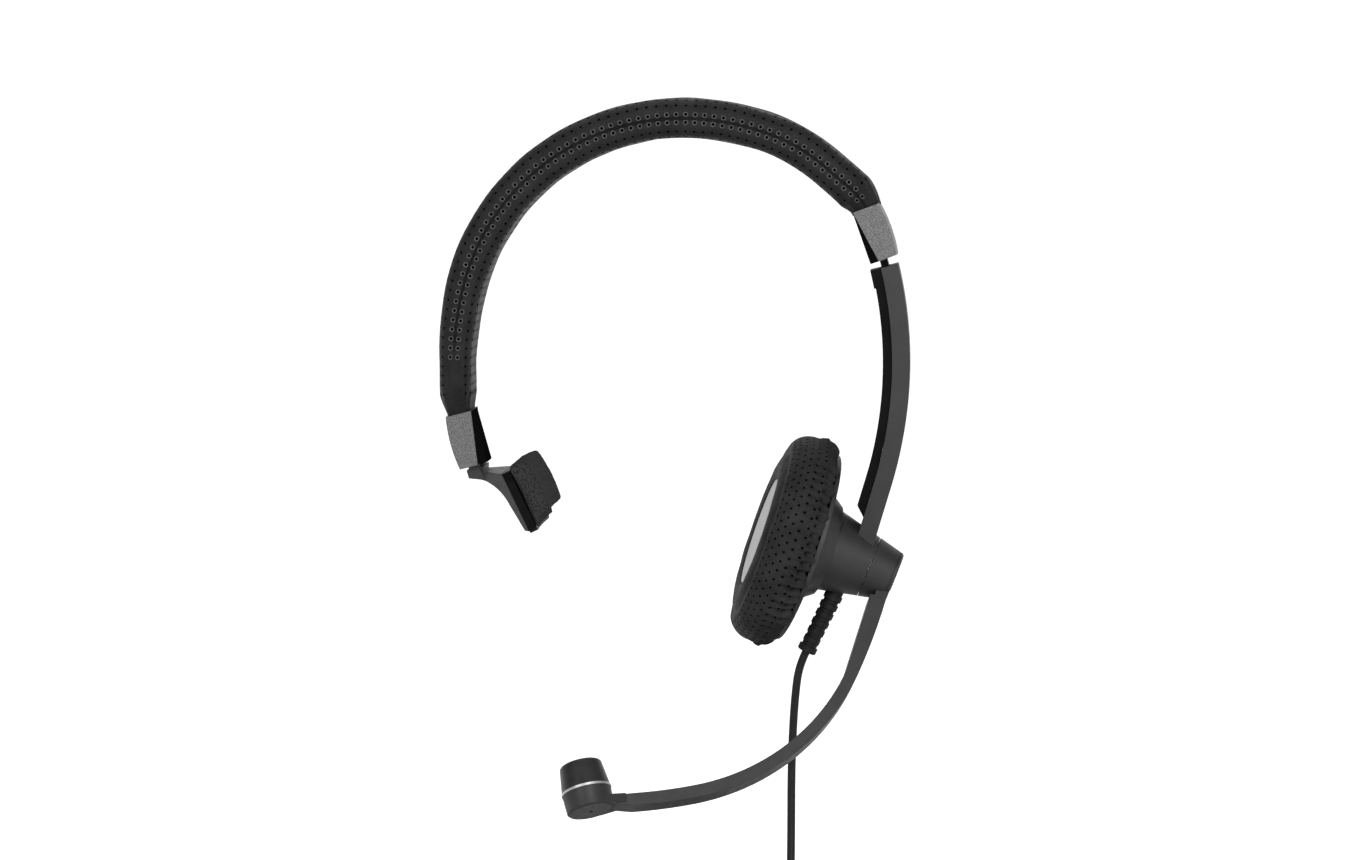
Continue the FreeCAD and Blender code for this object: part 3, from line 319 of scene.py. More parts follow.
def make_looks():
    looks = [
        leather("leatherette", grey(0.006), grey(0.012), rough=0.48, pore=0.62, depth=0.04),
        leather("ear_leatherette", grey(0.013), grey(0.024), rough=0.50, pore=0.50, depth=0.05, shine=0.03),
        moulded("grey_plastic", grey(0.013, 1.03), grey(0.018, 1.03), rough=0.46),
        moulded("black_plastic", grey(0.0020), grey(0.0035), rough=0.42, shine=0.04),
        moulded("mic_plastic", grey(0.010), grey(0.015), rough=0.36, grain=0.30),
        moulded("white_plastic", grey(0.55, 0.96), grey(0.66, 0.97), rough=0.45),
        moulded("grip_plastic", grey(0.011), grey(0.016), rough=0.48, grain=0.6, depth=0.03),
        brushed("spring_steel", grey(0.34), grey(0.48), rough=0.30, press=(6.0, 1.0, 1.0)),
        brushed("plug_metal", grey(0.52), grey(0.66), rough=0.22, press=(5.0, 5.0, 0.5)),
        brushed("magnet_metal", grey(0.30), grey(0.42), rough=0.35),
        brushed("mic_ring_metal", grey(0.36), grey(0.48), rough=0.42, press=(1.0, 4.0, 1.0)),
        brushed("brass", (0.50, 0.34, 0.12), (0.66, 0.47, 0.18), rough=0.30, press=(1.0, 1.0, 4.0)),
        brushed("gold_contact", (0.62, 0.43, 0.13), (0.80, 0.58, 0.20), rough=0.25, press=(1.0, 1.0, 4.0)),
        # Two copies of the sleeve look, which differ only in the direction that gets the painted shade.
        sleeve_metal("sleeve_metal", to_head=(-0.84, 0.0, -0.54)),
        sleeve_metal("sleeve_metal_left", to_head=(0.90, 0.0, 0.44)),
        rubbery("black_rubber", patches=3.0, sheen=1.2, rough=(0.50, 0.68), grain=(0.4, 3.0), depth=0.02),
        rubbery("cord_jacket", patches=7.0, sheen=2.0, rough=(0.42, 0.56), grain=(0.3, 2.0), depth=0.008),
        open_foam_look(), pad_foam_look(), circuit_board_look(), driver_film_look(), speaker_cloth_look(),
        tie_strap_look(), punched_hole_look(), hole_rim_look(),
    ]
    return {look.name: look.material for look in looks}


def dress_cad_nodes():
    """Every carried-over CAD node gets the procedural look of its own material slot."""
    for node in NODES.values():
        for spot in node.material_slots:
            spot.material = LOOKS[spot.material.name.split(".")[0]]
    NODES["temple_sleeve"].material_slots[0].material = LOOKS["sleeve_metal_left"]


# ---------------------------------------------------------------- mesh building

SKIN, PIT, RIM = 0, 1, 2                        # material slots of a punched cover
COMPASS = [(-1, -1), (0, -1), (1, -1), (1, 0), (1, 1), (0, 1), (-1, 1), (-1, 0)]    # round a cell
LIP_REACH = 1.55                                # outer radius of the lip round a hole, in hole radii
EDGE_DEPTH = 0.08                               # how far the edge of a hole is rounded over
FLOOR_DEPTH, FLOOR_SHARE = 0.65, 0.86           # depth of a hole, and its radius down there in hole radii


class Patch:
    """Collects vertices and faces in millimetres, then makes one object of them."""

    def __init__(self):
        self.points, self.faces, self.slots = [], [], []

    def point(self, place):
        self.points.append(Vector(place))
        return len(self.points) - 1

    def face(self, corners, slot=0):
        self.faces.append(corners)
        self.slots.append(slot)

    def build(self, name, looks, levels=1, where=Matrix.Identity(4)):
        """The finished object, with `levels` of subdivision, moved by the matrix `where`."""
        mesh = bpy.data.meshes.new(name)
        mesh.from_pydata([(where @ p) * MM for p in self.points], [], self.faces)
        for look in looks:
            mesh.materials.append(LOOKS[look])
        mesh.polygons.foreach_set("material_index", self.slots)
        shape = bmesh.new()
        shape.from_mesh(mesh)
        bmesh.ops.recalc_face_normals(shape, faces=shape.faces)
        shape.to_mesh(mesh)
        shape.free()
        mesh.shade_smooth()
        made = add_object(name, mesh)
        if levels:
            smoother = made.modifiers.new("smooth", "SUBSURF")
            smoother.levels = smoother.render_levels = levels
        return made


class Cover(Patch):
    """A skin over a grid: u runs from 0 to 1 along it, v runs in millimetres across it.

    place(u, v, depth) gives the point `depth` below the surface. hole(u, v) gives a hole's radius, the
    height of its lip and the lip's stretch across, or None. `halves` counts the half cells along the skin,
    and a closed skin meets itself at u = 1.
    """

    def __init__(self, place, hole, halves, length, closed):
        super().__init__()
        self.place, self.hole = place, hole
        self.halves, self.length, self.closed = halves, length, closed
        self.count = halves if closed else halves + 1           # vertices along one line

    def index(self, i):
        return i % self.halves if self.closed else i

    def spot(self, i, v):
        """A vertex on the surface, i half cells along."""
        return self.point(self.place(i / self.halves, v, 0.0))

    def line(self, v):
        """Vertices along a line of constant v, at every half cell."""
        return [self.spot(i, v) for i in range(self.count)]

    def plain_row(self, low, high):
        for i in range(self.halves):
            after = self.index(i + 1)
            self.face([low[i], low[after], high[after], high[i]])

    def punched_row(self, low, high, v_low, v_high, parity):
        """A row of cells with holes between two lines; parity 1 moves a closed row by half a cell."""
        middle = (v_low + v_high) / 2
        sides = {i: self.spot(i, middle) for i in range(parity, self.count, 2)}
        for centre in range(1 - parity, self.count, 2):
            a, b = self.index(centre - 1), self.index(centre + 1)
            border = [low[a], low[centre], low[b], sides[b], high[b], high[centre], high[a], sides[a]]
            cut = self.hole(centre / self.halves, middle)
            if cut is None:
                self.whole_cell(border, centre, middle)
            else:
                self.punched_cell(border, centre / self.halves, middle, *cut)

    def whole_cell(self, border, i, v):
        centre = self.spot(i, v)
        for k in range(0, len(border), 2):
            self.face([border[k - 1], border[k], border[k + 1], centre])

    def punched_cell(self, border, u, v, radius, lip, stretch):
        """A hole with its lip, its rounded edge and its floor."""
        rings = [border]
        for along, across, depth in ((LIP_REACH, stretch, -lip), (1.0, 1.0, EDGE_DEPTH),
                                     (FLOOR_SHARE, FLOOR_SHARE, FLOOR_DEPTH)):
            ring = []
            for x, y in COMPASS:
                reach = radius / math.hypot(x, y)
                ring.append(self.point(self.place(u + x * reach * along / self.length,
                                                  v + y * reach * across, depth)))
            rings.append(ring)
        # A raised lip takes the lighter hole_rim look as painted highlight; the hole's sides and floor take
        # the near-black punched_hole look as painted shade.
        for outer, inner, slot in zip(rings, rings[1:], (SKIN, RIM if lip else SKIN, PIT)):
            for k in range(len(COMPASS)):
                n = (k + 1) % len(COMPASS)
                self.face([outer[k], outer[n], inner[n], inner[k]], slot)
        self.face(rings[-1], PIT)


class Path:
    """A plane curve by arc length, from closely spaced points."""

    def __init__(self, points):
        self.points = [Vector(p) for p in points]
        self.marks = [0.0]
        for a, b in zip(self.points, self.points[1:]):
            self.marks.append(self.marks[-1] + (b - a).length)
        self.length = self.marks[-1]

    def at(self, distance):
        distance = min(max(distance, 0.0), self.length)
        low = min(bisect.bisect_right(self.marks, distance), len(self.marks) - 1) - 1
        share = (distance - self.marks[low]) / (self.marks[low + 1] - self.marks[low])
        return self.points[low].lerp(self.points[low + 1], share)

    def way(self, distance, reach=0.4):
        """Unit direction of travel, measured over `reach` to both sides."""
        return (self.at(distance + reach) - self.at(distance - reach)).normalized()


def arc_points(cx, cy, radius, start, end, step=1.5):
    """Points along an arc about (cx, cy), about `step` degrees apart."""
    count = max(2, int(abs(end - start) / step))
    return [(cx + radius * math.cos(math.radians(start + (end - start) * i / count)),
             cy + radius * math.sin(math.radians(start + (end - start) * i / count)))
            for i in range(count + 1)]


def arc_way(angle):
    """Direction of travel along an arc at an angle in degrees."""
    return Vector((-math.sin(math.radians(angle)), math.cos(math.radians(angle))))


def hermite(a, a_way, b, b_way, count=12):
    """Points from a to b, leaving along a_way and arriving along b_way, without a itself."""
    a, b = Vector(a), Vector(b)
    reach = (b - a).length
    a_way, b_way = Vector(a_way).normalized() * reach, Vector(b_way).normalized() * reach
    out = []
    for i in range(1, count + 1):
        t = i / count
        out.append(a * (2 * t**3 - 3 * t**2 + 1) + a_way * (t**3 - 2 * t**2 + t)
                   + b * (3 * t**2 - 2 * t**3) + b_way * (t**3 - t**2))
    return out


def eased(value, low, high):
    """0 below low, 1 above high, and a smooth step between them."""
    t = min(max((value - low) / (high - low), 0.0), 1.0)
    return t * t * (3 - 2 * t)


def bell(value, centre, width):
    """1 at the centre, fading smoothly to nothing over about two widths."""
    return math.exp(-((value - centre) / width) ** 2)


# ---------------------------------------------------------------- headband cover

# The band's line lies in the XZ plane, as (x, z): sleeve mouths and the way up out of them, then arcs from
# the arm's side over the crown, as centre, radius, first and last angle.
ARM_SLEEVE_MOUTH, ARM_SLEEVE_UP = Vector((53.7, -20.8)), Vector((-0.3486, 0.937))
TEMPLE_SLEEVE_MOUTH, TEMPLE_SLEEVE_UP = Vector((-65.5, -81.4)), Vector((-0.2554, 0.9668))
SLEEVE_TUCK = 0.8                               # how far the cover reaches into a sleeve
BAND_ARCS = [(1.887, -58.962, 63.9, 50.0, 68.6), (0.5, -62.5, 67.7, 68.6, 115.4),
             (-0.701, -59.971, 64.9, 115.4, 168.0), (36.37, -67.85, 102.8, 168.0, 180.0)]

BAND_HALF_THICK, BAND_HALF_WIDTH = 5.56, 12.0   # before its swells and its necks in the sleeves
BAND_CORNER = 4.5
BAND_CROWNING = 0.12                            # how far the broad faces bulge
BAND_ROUND = 60.5                               # length of v once round the band, from the front seam
BAND_PITCH = 2.73                               # from hole to hole along the band
BAND_ROWS = 22                                  # rows of holes beside the two stitched ones
SEAM_LINE, STITCH_EDGE = 0.22, 2.0              # the stitched row lies between these
SEAM_REACH = 2.55                               # where the plain rows of holes begin
STITCH_HOLE, BAND_HOLE = (0.45, 0.13, 1.7), (0.39, 0.0, 1.5)    # radius, lip and its stretch
SEAM_ENDS, HOLE_ENDS = (4.0, 17.5), 6.0         # no stitches and no holes this near the sleeves
WELT = (24.0, 15.0)                             # the seam turns into a flat welt this far from the temple
NECK_IN, NECK_LENGTH = 3.4, 10.0                # how far a sleeve draws in the band's edges


def band_line():
    """Centre line of the padded band, from the sleeve above the arm over the crown to the temple sleeve."""
    arcs = [arc_points(*arc) for arc in BAND_ARCS]
    middle = arcs[0] + [point for arc in arcs[1:] for point in arc[1:]]
    start = ARM_SLEEVE_MOUTH - ARM_SLEEVE_UP * SLEEVE_TUCK
    end = TEMPLE_SLEEVE_MOUTH - TEMPLE_SLEEVE_UP * SLEEVE_TUCK
    first = hermite(start, ARM_SLEEVE_UP, middle[0], arc_way(BAND_ARCS[0][3]))
    last = hermite(middle[-1], arc_way(BAND_ARCS[-1][4]), end, -TEMPLE_SLEEVE_UP)
    return Path([start] + first[:-1] + middle + last)


def band_section(share, half_thick, half_width, corner):
    """Point and outward direction on the rounded section, as (outward, along Y), from the front seam."""
    flat_n, flat_y = half_thick - corner, half_width - corner
    turn = corner * math.pi / 2
    pieces = [flat_n, turn, 2 * flat_y, turn, 2 * flat_n, turn, 2 * flat_y, turn, flat_n]
    along = (share % 1.0) * sum(pieces)
    k = 0
    while k < 8 and along > pieces[k]:
        along -= pieces[k]
        k += 1
    if k in (0, 4, 8):                          # the narrow faces, towards the wearer's front or back
        sign = 1 if k == 4 else -1
        n = {0: along, 4: flat_n - along, 8: along - flat_n}[k]
        return (n, sign * half_width), (0.0, sign)
    if k in (2, 6):                             # the broad faces, away from the head and towards it
        sign = 1 if k == 2 else -1
        y = (along - flat_y) * sign
        crown = BAND_CROWNING * (1 - (y / flat_y) ** 2)
        return (sign * (half_thick + crown), y), (sign, 0.0)
    start = {1: -90.0, 3: 0.0, 5: 90.0, 7: 180.0}[k]
    centre = {1: (flat_n, -flat_y), 3: (flat_n, flat_y), 5: (-flat_n, flat_y), 7: (-flat_n, -flat_y)}[k]
    angle = math.radians(start) + along / corner
    way = (math.cos(angle), math.sin(angle))
    return (centre[0] + corner * way[0], centre[1] + corner * way[1]), way


def band_cover():
    """Padded, perforated tube with a sunk seam along its front, between two rows of lipped stitch holes."""
    line = band_line()

    def thickness(s):
        """Half thickness: full over the crown, flatter towards the temple, drawn in at both sleeves."""
        share = s / line.length
        crown = 0.17 * bell(s, 0.42 * line.length, 45.0)
        shoulder = 0.25 * bell(share, 0.58, 0.13)
        flattened = 0.9 * eased(share, 0.74, 0.97)
        drawn_in = sum(1.35 * (1 - eased(gap, 0.0, 6.5)) for gap in (s, line.length - s))
        return BAND_HALF_THICK + crown + shoulder - flattened - drawn_in

    def place(u, v, depth):
        s = u * line.length
        neck = 1 - eased(min(s, line.length - s), 0.5, NECK_LENGTH)
        half_thick, half_width = thickness(s), BAND_HALF_WIDTH - NECK_IN * neck
        corner = min(BAND_CORNER, half_thick - 0.1)
        (n, y), way = band_section(v / BAND_ROUND, half_thick, half_width, corner)
        centre, forward = line.at(s), line.way(s)
        out = Vector((forward.y, -forward.x))                   # away from the head
        from_seam = min(v % BAND_ROUND, BAND_ROUND - v % BAND_ROUND)
        welt = eased(s, *(line.length - gap for gap in WELT))
        groove = 0.85 * bell(from_seam, 0.0, 0.2) * (1 - 0.75 * welt)
        groove += welt * 0.5 * bell(from_seam, STITCH_EDGE, 0.35)
        puff = 0.14 * bell(from_seam, 3.0, 1.6)
        fold = 0.5 * neck * math.sin(v * 1.9 + 1.3 * math.sin(s * 0.5)) * (1 - bell(from_seam, 0.0, 3.0))
        lump = 0.30 * noise.noise(Vector((s * 0.09, y * 0.12, n * 0.2))) * (1 - neck)
        sink = depth + groove - puff - fold - lump
        shift = 0.5 * bell(u, 0.15, 0.07)                       # stands out more above the arm's sleeve
        flat = centre + out * (n - way[0] * sink + shift)
        return Vector((flat.x, y - way[1] * sink, flat.y))

    def hole(u, v):
        s, v = u * line.length, v % BAND_ROUND
        if min(v, BAND_ROUND - v) < STITCH_EDGE:
            return STITCH_HOLE if SEAM_ENDS[0] <= s <= line.length - SEAM_ENDS[1] else None
        return BAND_HOLE if HOLE_ENDS <= s <= line.length - HOLE_ENDS else None

    cover = Cover(place, hole, 2 * round(line.length / BAND_PITCH), line.length, closed=False)
    step = (BAND_ROUND - 2 * SEAM_REACH) / BAND_ROWS
    lines = [0.0, SEAM_LINE, STITCH_EDGE] + [SEAM_REACH + i * step for i in range(BAND_ROWS + 1)]
    lines += [BAND_ROUND - STITCH_EDGE, BAND_ROUND - SEAM_LINE]
    plain = (0, 2, BAND_ROWS + 3, BAND_ROWS + 5)                # rows beside the seam and the stitches
    rings = [cover.line(v) for v in lines]
    for j, low in enumerate(rings):
        high = rings[(j + 1) % len(rings)]
        if j in plain:
            cover.plain_row(low, high)
        else:
            cover.punched_row(low, high, lines[j], lines[j + 1], parity=0)
    return cover.build("band_leather", ["leatherette", "punched_hole", "hole_rim"])


# ---------------------------------------------------------------- ear cushion and its cloth

def placed(x, y, z):
    return Matrix.Translation((x, y, z))


def turned(axis, degrees):
    return Matrix.Rotation(math.radians(degrees), 4, axis)


# The cup's frame has its axis along Z, with the wearer's ear at -Z.
HUB = placed(42.45, 0, -121.65) @ turned("Y", 111.7)
CUP = HUB @ placed(0, 0, 2.0) @ turned("X", -8.0) @ turned("Y", -2.5) @ placed(0.9, 0, 0)

CUSHION_RADIUS = 31.4                           # of its side
CUSHION_COLUMNS = 68                            # holes once round the side
CUSHION_ROWS = 7
CUSHION_PITCH = 1.96                            # from row to row
CUSHION_SIDE = 18.66                            # length of the perforated side, from front to back seam
CUSHION_HOLE = (0.36, 0.0, 1.5)
GATHER_DEPTH = 2.2
CLOTH_RADIUS, CLOTH_LEVEL, CLOTH_SAG = 16.0, -22.80, 0.25


def lean(y, z):
    """The soft front of the cushion leans a little: the wearer's front side stands further out."""
    return 0.043 * y * (1 - eased(z, -17.5, -9.0))


def cushion_outline():
    """Half section as (radius, z), and the arc length at which its front turns into its side.

    It comes out of the ear hole and goes over the crowned front and the side to the seam at the back.
    """
    steps = 8
    front = [(16.1, -11.6), (16.1, -22.0)] + arc_points(17.3, -22.0, 1.2, 180, 270, 15)[1:]
    front += [(17.3 + 7.1 * i / steps, -23.2 + 0.4 * i / steps - 0.62 * math.sin(math.pi * i / steps))
              for i in range(1, steps + 1)]
    side = arc_points(24.4, -15.8, 7.0, -90, 0, 4)[1:] + arc_points(25.9, -13.4, 5.5, 0, 54.9, 4)
    back = [(27.75, -8.95), (27.3, -10.5), (17.0, -11.6)]
    return Path(front + side + back), Path(front).length


def cushion():
    """Ear cushion: smooth crowned front, perforated side, and gathers where it is drawn round the rim."""
    line, corner = cushion_outline()
    side_end = corner + CUSHION_SIDE
    half = 2 * CUSHION_COLUMNS
    random.seed(11)
    gathers = [0.30 + 0.80 * random.random() for _ in range(half)]
    drift = [0.35 * (random.random() - 0.5) for _ in range(half)]

    def place(u, v, depth):
        at, way = line.at(v), line.way(v, 0.3)
        inward = Vector((-way.y, way.x))
        index = int(round(u * half)) % half
        drawn = eased(v, corner + 9.5, side_end - 0.6) * (1 - eased(v, side_end + 0.3, side_end + 1.8))
        ripple = math.cos(math.pi * index) * gathers[index]
        crease = 0.75 * bell(v, corner + 0.9, 1.1)
        turn = 2 * math.pi * u
        lump = 0.20 * noise.noise(Vector((math.cos(turn) * 3, math.sin(turn) * 3, v * 0.2)))
        sink = depth + crease - GATHER_DEPTH * drawn * ripple - lump * eased(v, 12.0, 15.0)
        at = at + inward * sink
        angle = 2 * math.pi * (u + drawn * drift[index] / half)
        y = at.x * math.sin(angle)
        return Vector((at.x * math.cos(angle), y, at.y + lean(y, at.y)))

    cover = Cover(place, lambda u, v: CUSHION_HOLE, half, 2 * math.pi * CUSHION_RADIUS, closed=True)
    front = [0.0, 5.5, 9.4, 10.3, 10.9, 11.5, 12.1, 13.0, 14.4, 16.0, 17.6, corner - 0.7, corner + 0.2,
             corner + 0.9, corner + 1.7]
    rows = [corner + 3.0 + CUSHION_PITCH * i for i in range(CUSHION_ROWS + 1)]
    back = [side_end - 0.9, side_end, side_end + 0.8, side_end + 2.0, line.length - 4.0]
    lines = front + rows + back
    rings = [cover.line(v) for v in lines]
    for j in range(len(lines) - 1):
        row = j - len(front)
        if 0 <= row < CUSHION_ROWS:
            cover.punched_row(rings[j], rings[j + 1], lines[j], lines[j + 1], row % 2)
        else:
            cover.plain_row(rings[j], rings[j + 1])
    cover.plain_row(rings[-1], rings[0])
    return cover.build("ear_cushion", ["ear_leatherette", "punched_hole", "hole_rim"], where=CUP)


def ear_cloth():
    """Knitted cloth stretched over the speaker, drawn very slightly inwards between its edges."""
    patch = Patch()
    rings, spokes = 14, 72
    centre = patch.point((0, 0, CLOTH_LEVEL + CLOTH_SAG))
    last = None
    for i in range(1, rings + 1):
        r = CLOTH_RADIUS * i / rings
        z = CLOTH_LEVEL + CLOTH_SAG * (1 - (r / CLOTH_RADIUS) ** 2)
        ring = []
        for k in range(spokes):
            angle = 2 * math.pi * k / spokes
            y = r * math.sin(angle)
            ring.append(patch.point((r * math.cos(angle), y, z + lean(y, z))))
        for k in range(spokes):
            n = (k + 1) % spokes
            patch.face([centre, ring[k], ring[n]] if last is None else [last[k], ring[k], ring[n], last[n]])
        last = ring
    return patch.build("ear_cloth", ["speaker_cloth"], levels=0, where=CUP)


# ---------------------------------------------------------------- temple foam

FOAM_OUTWARD, FOAM_ALONG = Vector((0.894, 0.0, 0.447)), Vector((0.447, 0.0, -0.894))
FOAM_BULGE = 0.9                                # of the middle of its face
FOAM_CELL = 0.45                                # size of its mesh's faces
FOAM_SOFTENING = (0.5, 55)                      # share of each smoothing step, and number of steps
FOAM_LUMPS = [(3.0, 0.14), (0.9, 0.10)]         # size and height of its unevenness


def temple_pad():
    """Open-cell foam block with soft edges and a full middle, worn a little uneven."""
    pad = add_object("temple_pad", NODES["temple_foam"].data.copy())
    shape = pad.modifiers.new("shape", "REMESH")
    shape.mode, shape.voxel_size = "VOXEL", FOAM_CELL * MM
    soften = pad.modifiers.new("soften", "SMOOTH")
    soften.factor, soften.iterations = FOAM_SOFTENING
    mesh = bpy.data.meshes.new_from_object(pad.evaluated_get(bpy.context.evaluated_depsgraph_get()))
    pad.modifiers.clear()
    pad.data = mesh
    reach = [vertex.co.dot(FOAM_ALONG) for vertex in mesh.vertices]
    depth = [vertex.co.dot(FOAM_OUTWARD) for vertex in mesh.vertices]
    start, end, back, face = min(reach), max(reach), min(depth), max(depth)
    for vertex, place, deep in zip(mesh.vertices, reach, depth):
        from_middle = 2 * (place - start) / (end - start) - 1
        vertex.co += FOAM_OUTWARD * (FOAM_BULGE * MM * eased(deep, back, face) * (1 - from_middle ** 2))
        lump = sum(noise.noise(vertex.co / (size * MM)) * height for size, height in FOAM_LUMPS)
        vertex.co += vertex.normal * lump * MM
    mesh.materials.clear()
    mesh.materials.append(LOOKS["temple_foam"])
    mesh.shade_smooth()
    mesh.name = "temple_pad"
    return pad


# ---------------------------------------------------------------- cord and tie strap

CORD_RADIUS = 1.25
CORD_EXIT = (36.37, 0.0, -151.76)               # where it leaves the strain relief
COIL = Vector((15.1, 0.0, -246.0))
COIL_RADIUS = 16.6
COIL_STEPS = 16                                 # points to one turn
COIL_LAYERS = [                                 # Y of a layer, and what its turns add to the coil's radius
    (-4.33, (0.0, -2.5)), (-2.165, (-3.75, -1.25, 1.25, 3.75)), (0.0, (5.0, 2.5, 0.0, -2.5, -5.0)),
    (2.165, (-3.75, -1.25, 1.25, 3.75)), (4.33, (2.5, 2.5))]

STRAP_CENTRE = Vector((COIL.x, 0.0, COIL.z + 17.0))
STRAP_WIDTH, STRAP_THICK = 9.0, 0.75
STRAP_REACH = 6.55                              # inner radius round the coil's bundle
STRAP_START = -math.pi / 2 - 0.5
STRAP_SWEEP = 2 * math.pi + 1.1                 # the free end laps over the first part
STRAP_LAP = (2 * math.pi - 0.9, 2 * math.pi - 0.1)      # it climbs onto the first part here
STRAP_CUT = 1.2                                 # how far the corners of its two ends are cut back
STRAP_SECTION = [(-1, 0), (-1, 1), (-0.35, 1.08), (0.35, 1.08), (1, 1), (1, 0), (0, -0.05)]


def cord_points():
    """Down from the relief, sixteen turns of the tied coil, and out of its bottom to the plug."""
    points = [CORD_EXIT, (34.25, 0, -156.20), (33.2, 0, -164.5), (32.5, 0, -175.0), (32.1, 0, -187.0),
              (32.1, -1.0, -205.0), (32.1, -4.4, -220.0), (32.0, -5.3, -232.0)]
    turns = [(wider, y) for y, ring in COIL_LAYERS for wider in ring]
    for step in range((len(turns) - 1) * COIL_STEPS + COIL_STEPS // 4 + 1):
        turn, share = divmod(step / COIL_STEPS, 1.0)
        here, after = turns[int(turn)], turns[min(int(turn) + 1, len(turns) - 1)]
        shift = eased(share, 0.7, 1.0)
        radius = (COIL_RADIUS + here[0] + (after[0] - here[0]) * shift) / math.cos(math.pi / COIL_STEPS)
        y = here[1] + (after[1] - here[1]) * shift
        angle = -2 * math.pi * step / COIL_STEPS
        points.append((COIL.x + radius * math.cos(angle), y, COIL.z + radius * math.sin(angle)))
    return points + [(9.0, 4.9, -265.5), (3.8, 4.6, -267.6), (0.4, 3.0, -271.6), (-1.1, 1.0, -276.6),
                     (-1.3, 0.0, -282.5)]


def make_cord():
    curve = bpy.data.curves.new("headset_cord", "CURVE")
    curve.dimensions = "3D"
    spline = curve.splines.new("NURBS")
    points = cord_points()
    spline.points.add(len(points) - 1)
    for spot, place in zip(spline.points, points):
        spot.co = (*(value * MM for value in place), 1.0)
    spline.order_u = 3
    spline.use_endpoint_u = True
    spline.resolution_u = 6
    curve.bevel_depth, curve.bevel_resolution, curve.use_fill_caps = CORD_RADIUS * MM, 3, True
    curve.materials.append(LOOKS["cord_jacket"])
    return add_object("headset_cord", curve)


def tie_strap():
    """Hook-and-loop strap round the coil's bundle at its top, with its free end lapped over."""
    patch = Patch()
    steps, corners = 56, len(STRAP_SECTION)
    rings = []
    for i in range(steps + 1):
        turn = STRAP_SWEEP * i / steps
        lift = STRAP_REACH + (STRAP_THICK + 0.1) * eased(turn, *STRAP_LAP)
        angle = STRAP_START + turn
        half = STRAP_WIDTH / 2 - STRAP_CUT * (1 - eased(min(i, steps - i), 0, 2))
        ring = []
        for across, out in STRAP_SECTION:
            reach = lift + STRAP_THICK * out
            ring.append(patch.point((STRAP_CENTRE.x + across * half, reach * math.cos(angle),
                                     STRAP_CENTRE.z + reach * math.sin(angle))))
        rings.append(ring)
    for a, b in zip(rings, rings[1:]):
        for k in range(corners):
            n = (k + 1) % corners
            patch.face([a[k], a[n], b[n], b[k]])
    patch.face(rings[0][::-1])
    patch.face(rings[-1])
    return patch.build("coil_strap", ["tie_strap"])


# ---------------------------------------------------------------- floor and light

FLOOR_HALF, FLOOR_LEVEL = 80.0, -0.340
LAMP_AIM = Vector((0.0, 0.0, -0.09))
LAMPS = [                                       # name, place, size and watts
    ("key", (0.42, -1.30, 0.50), 0.6, 15.0), ("left", (-0.75, -1.15, 0.45), 0.5, 5.0),
    ("fill", (1.3, -0.8, 0.5), 0.8, 3.0), ("top", (-0.3, 0.2, 1.5), 1.0, 8.0)]
BACKDROP, SURROUND = 1.08, 0.34                 # light from behind the object, and from all round


def paper_look():
    """Pale paper that fades into the white backdrop: it starts to glow at some distance from the object."""
    look = Look("floor_paper", Specular_IOR_Level=0.0, Emission_Color=(1.0, 1.0, 1.0, 1.0))
    reach = look.node("ShaderNodeVectorMath", operation="LENGTH")
    look.link(look.place, reach.inputs[0])
    glow = look.ranged(reach.outputs["Value"], (0.42, 0.80), (0.0, 0.62))
    look.link(glow, look.shader.inputs["Emission Strength"])
    shade = look.node("ShaderNodeMath", operation="MULTIPLY_ADD")
    look.link(look.noise(220.0), shade.inputs[0])
    shade.inputs[1].default_value = 0.08
    look.link(glow, shade.inputs[2])
    look.color(shade.outputs["Value"], grey(0.60), grey(0.95), (0.04, 0.62))
    look.rough(look.noise(300.0), 0.9, 1.0)
    return look


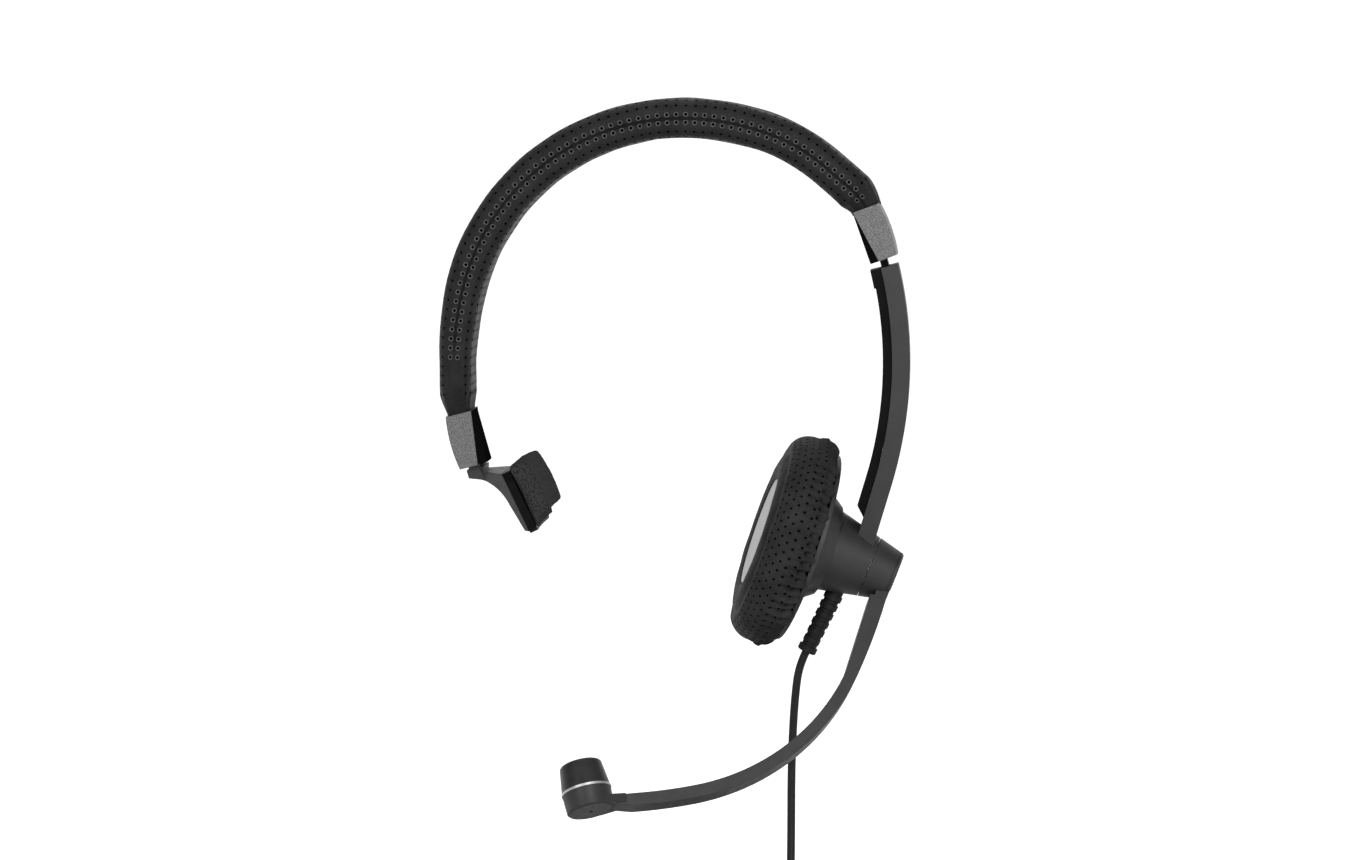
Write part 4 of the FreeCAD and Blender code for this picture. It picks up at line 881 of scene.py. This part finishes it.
def make_floor():
    mesh = bpy.data.meshes.new("floor")
    corners = [(-FLOOR_HALF, -FLOOR_HALF, FLOOR_LEVEL), (FLOOR_HALF, -FLOOR_HALF, FLOOR_LEVEL),
               (FLOOR_HALF, FLOOR_HALF, FLOOR_LEVEL), (-FLOOR_HALF, FLOOR_HALF, FLOOR_LEVEL)]
    mesh.from_pydata(corners, [], [(0, 1, 2, 3)])
    mesh.materials.append(paper_look().material)
    return add_object("floor", mesh)


def make_world():
    """White light: strong from behind and from a band along the horizon, weaker from all other sides."""
    world = bpy.data.worlds.new("studio")
    world.use_nodes = True
    tree = world.node_tree
    way = tree.nodes.new("ShaderNodeSeparateXYZ")
    tree.links.new(tree.nodes.new("ShaderNodeTexCoord").outputs["Generated"], way.inputs["Vector"])
    behind = map_range(tree, way.outputs["Y"], (0.1, 0.9), (SURROUND, BACKDROP), "SMOOTHSTEP")
    haze = map_range(tree, way.outputs["Z"], (0.05, 0.22), (BACKDROP, SURROUND), "SMOOTHSTEP")
    brighter = tree.nodes.new("ShaderNodeMath")
    brighter.operation = "MAXIMUM"
    tree.links.new(behind, brighter.inputs[0])
    tree.links.new(haze, brighter.inputs[1])
    tree.links.new(brighter.outputs["Value"], tree.nodes["Background"].inputs["Strength"])
    tree.nodes["Background"].inputs["Color"].default_value = (1.0, 1.0, 1.0, 1.0)
    bpy.context.scene.world = world


def make_lamps():
    for name, place, size, power in LAMPS:
        data = bpy.data.lights.new(name, "AREA")
        data.energy, data.size = power, size
        lamp = add_object(name, data)
        lamp.location = place
        lamp.rotation_euler = (LAMP_AIM - Vector(place)).to_track_quat("-Z", "Y").to_euler()


# ---------------------------------------------------------------- assembly

LOOKS = make_looks()
make_camera()
dress_cad_nodes()

cord = make_cord()
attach(cord, "arm")
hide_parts("cord", "cord_tail", "cord_coil")

strap = tie_strap()
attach(strap, "arm")
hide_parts("cord_tie")

band = band_cover()
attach(band, "headband")
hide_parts("band_cover", "band_foam")

ear = cushion()
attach(ear, "ear_cup")
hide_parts("cushion_cover", "cushion_foam")

cloth = ear_cloth()
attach(cloth, "ear_cup")
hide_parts("speaker_cloth")

rest = temple_pad()
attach(rest, "headband")
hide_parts("temple_foam")

floor = make_floor()
make_world()
make_lamps()
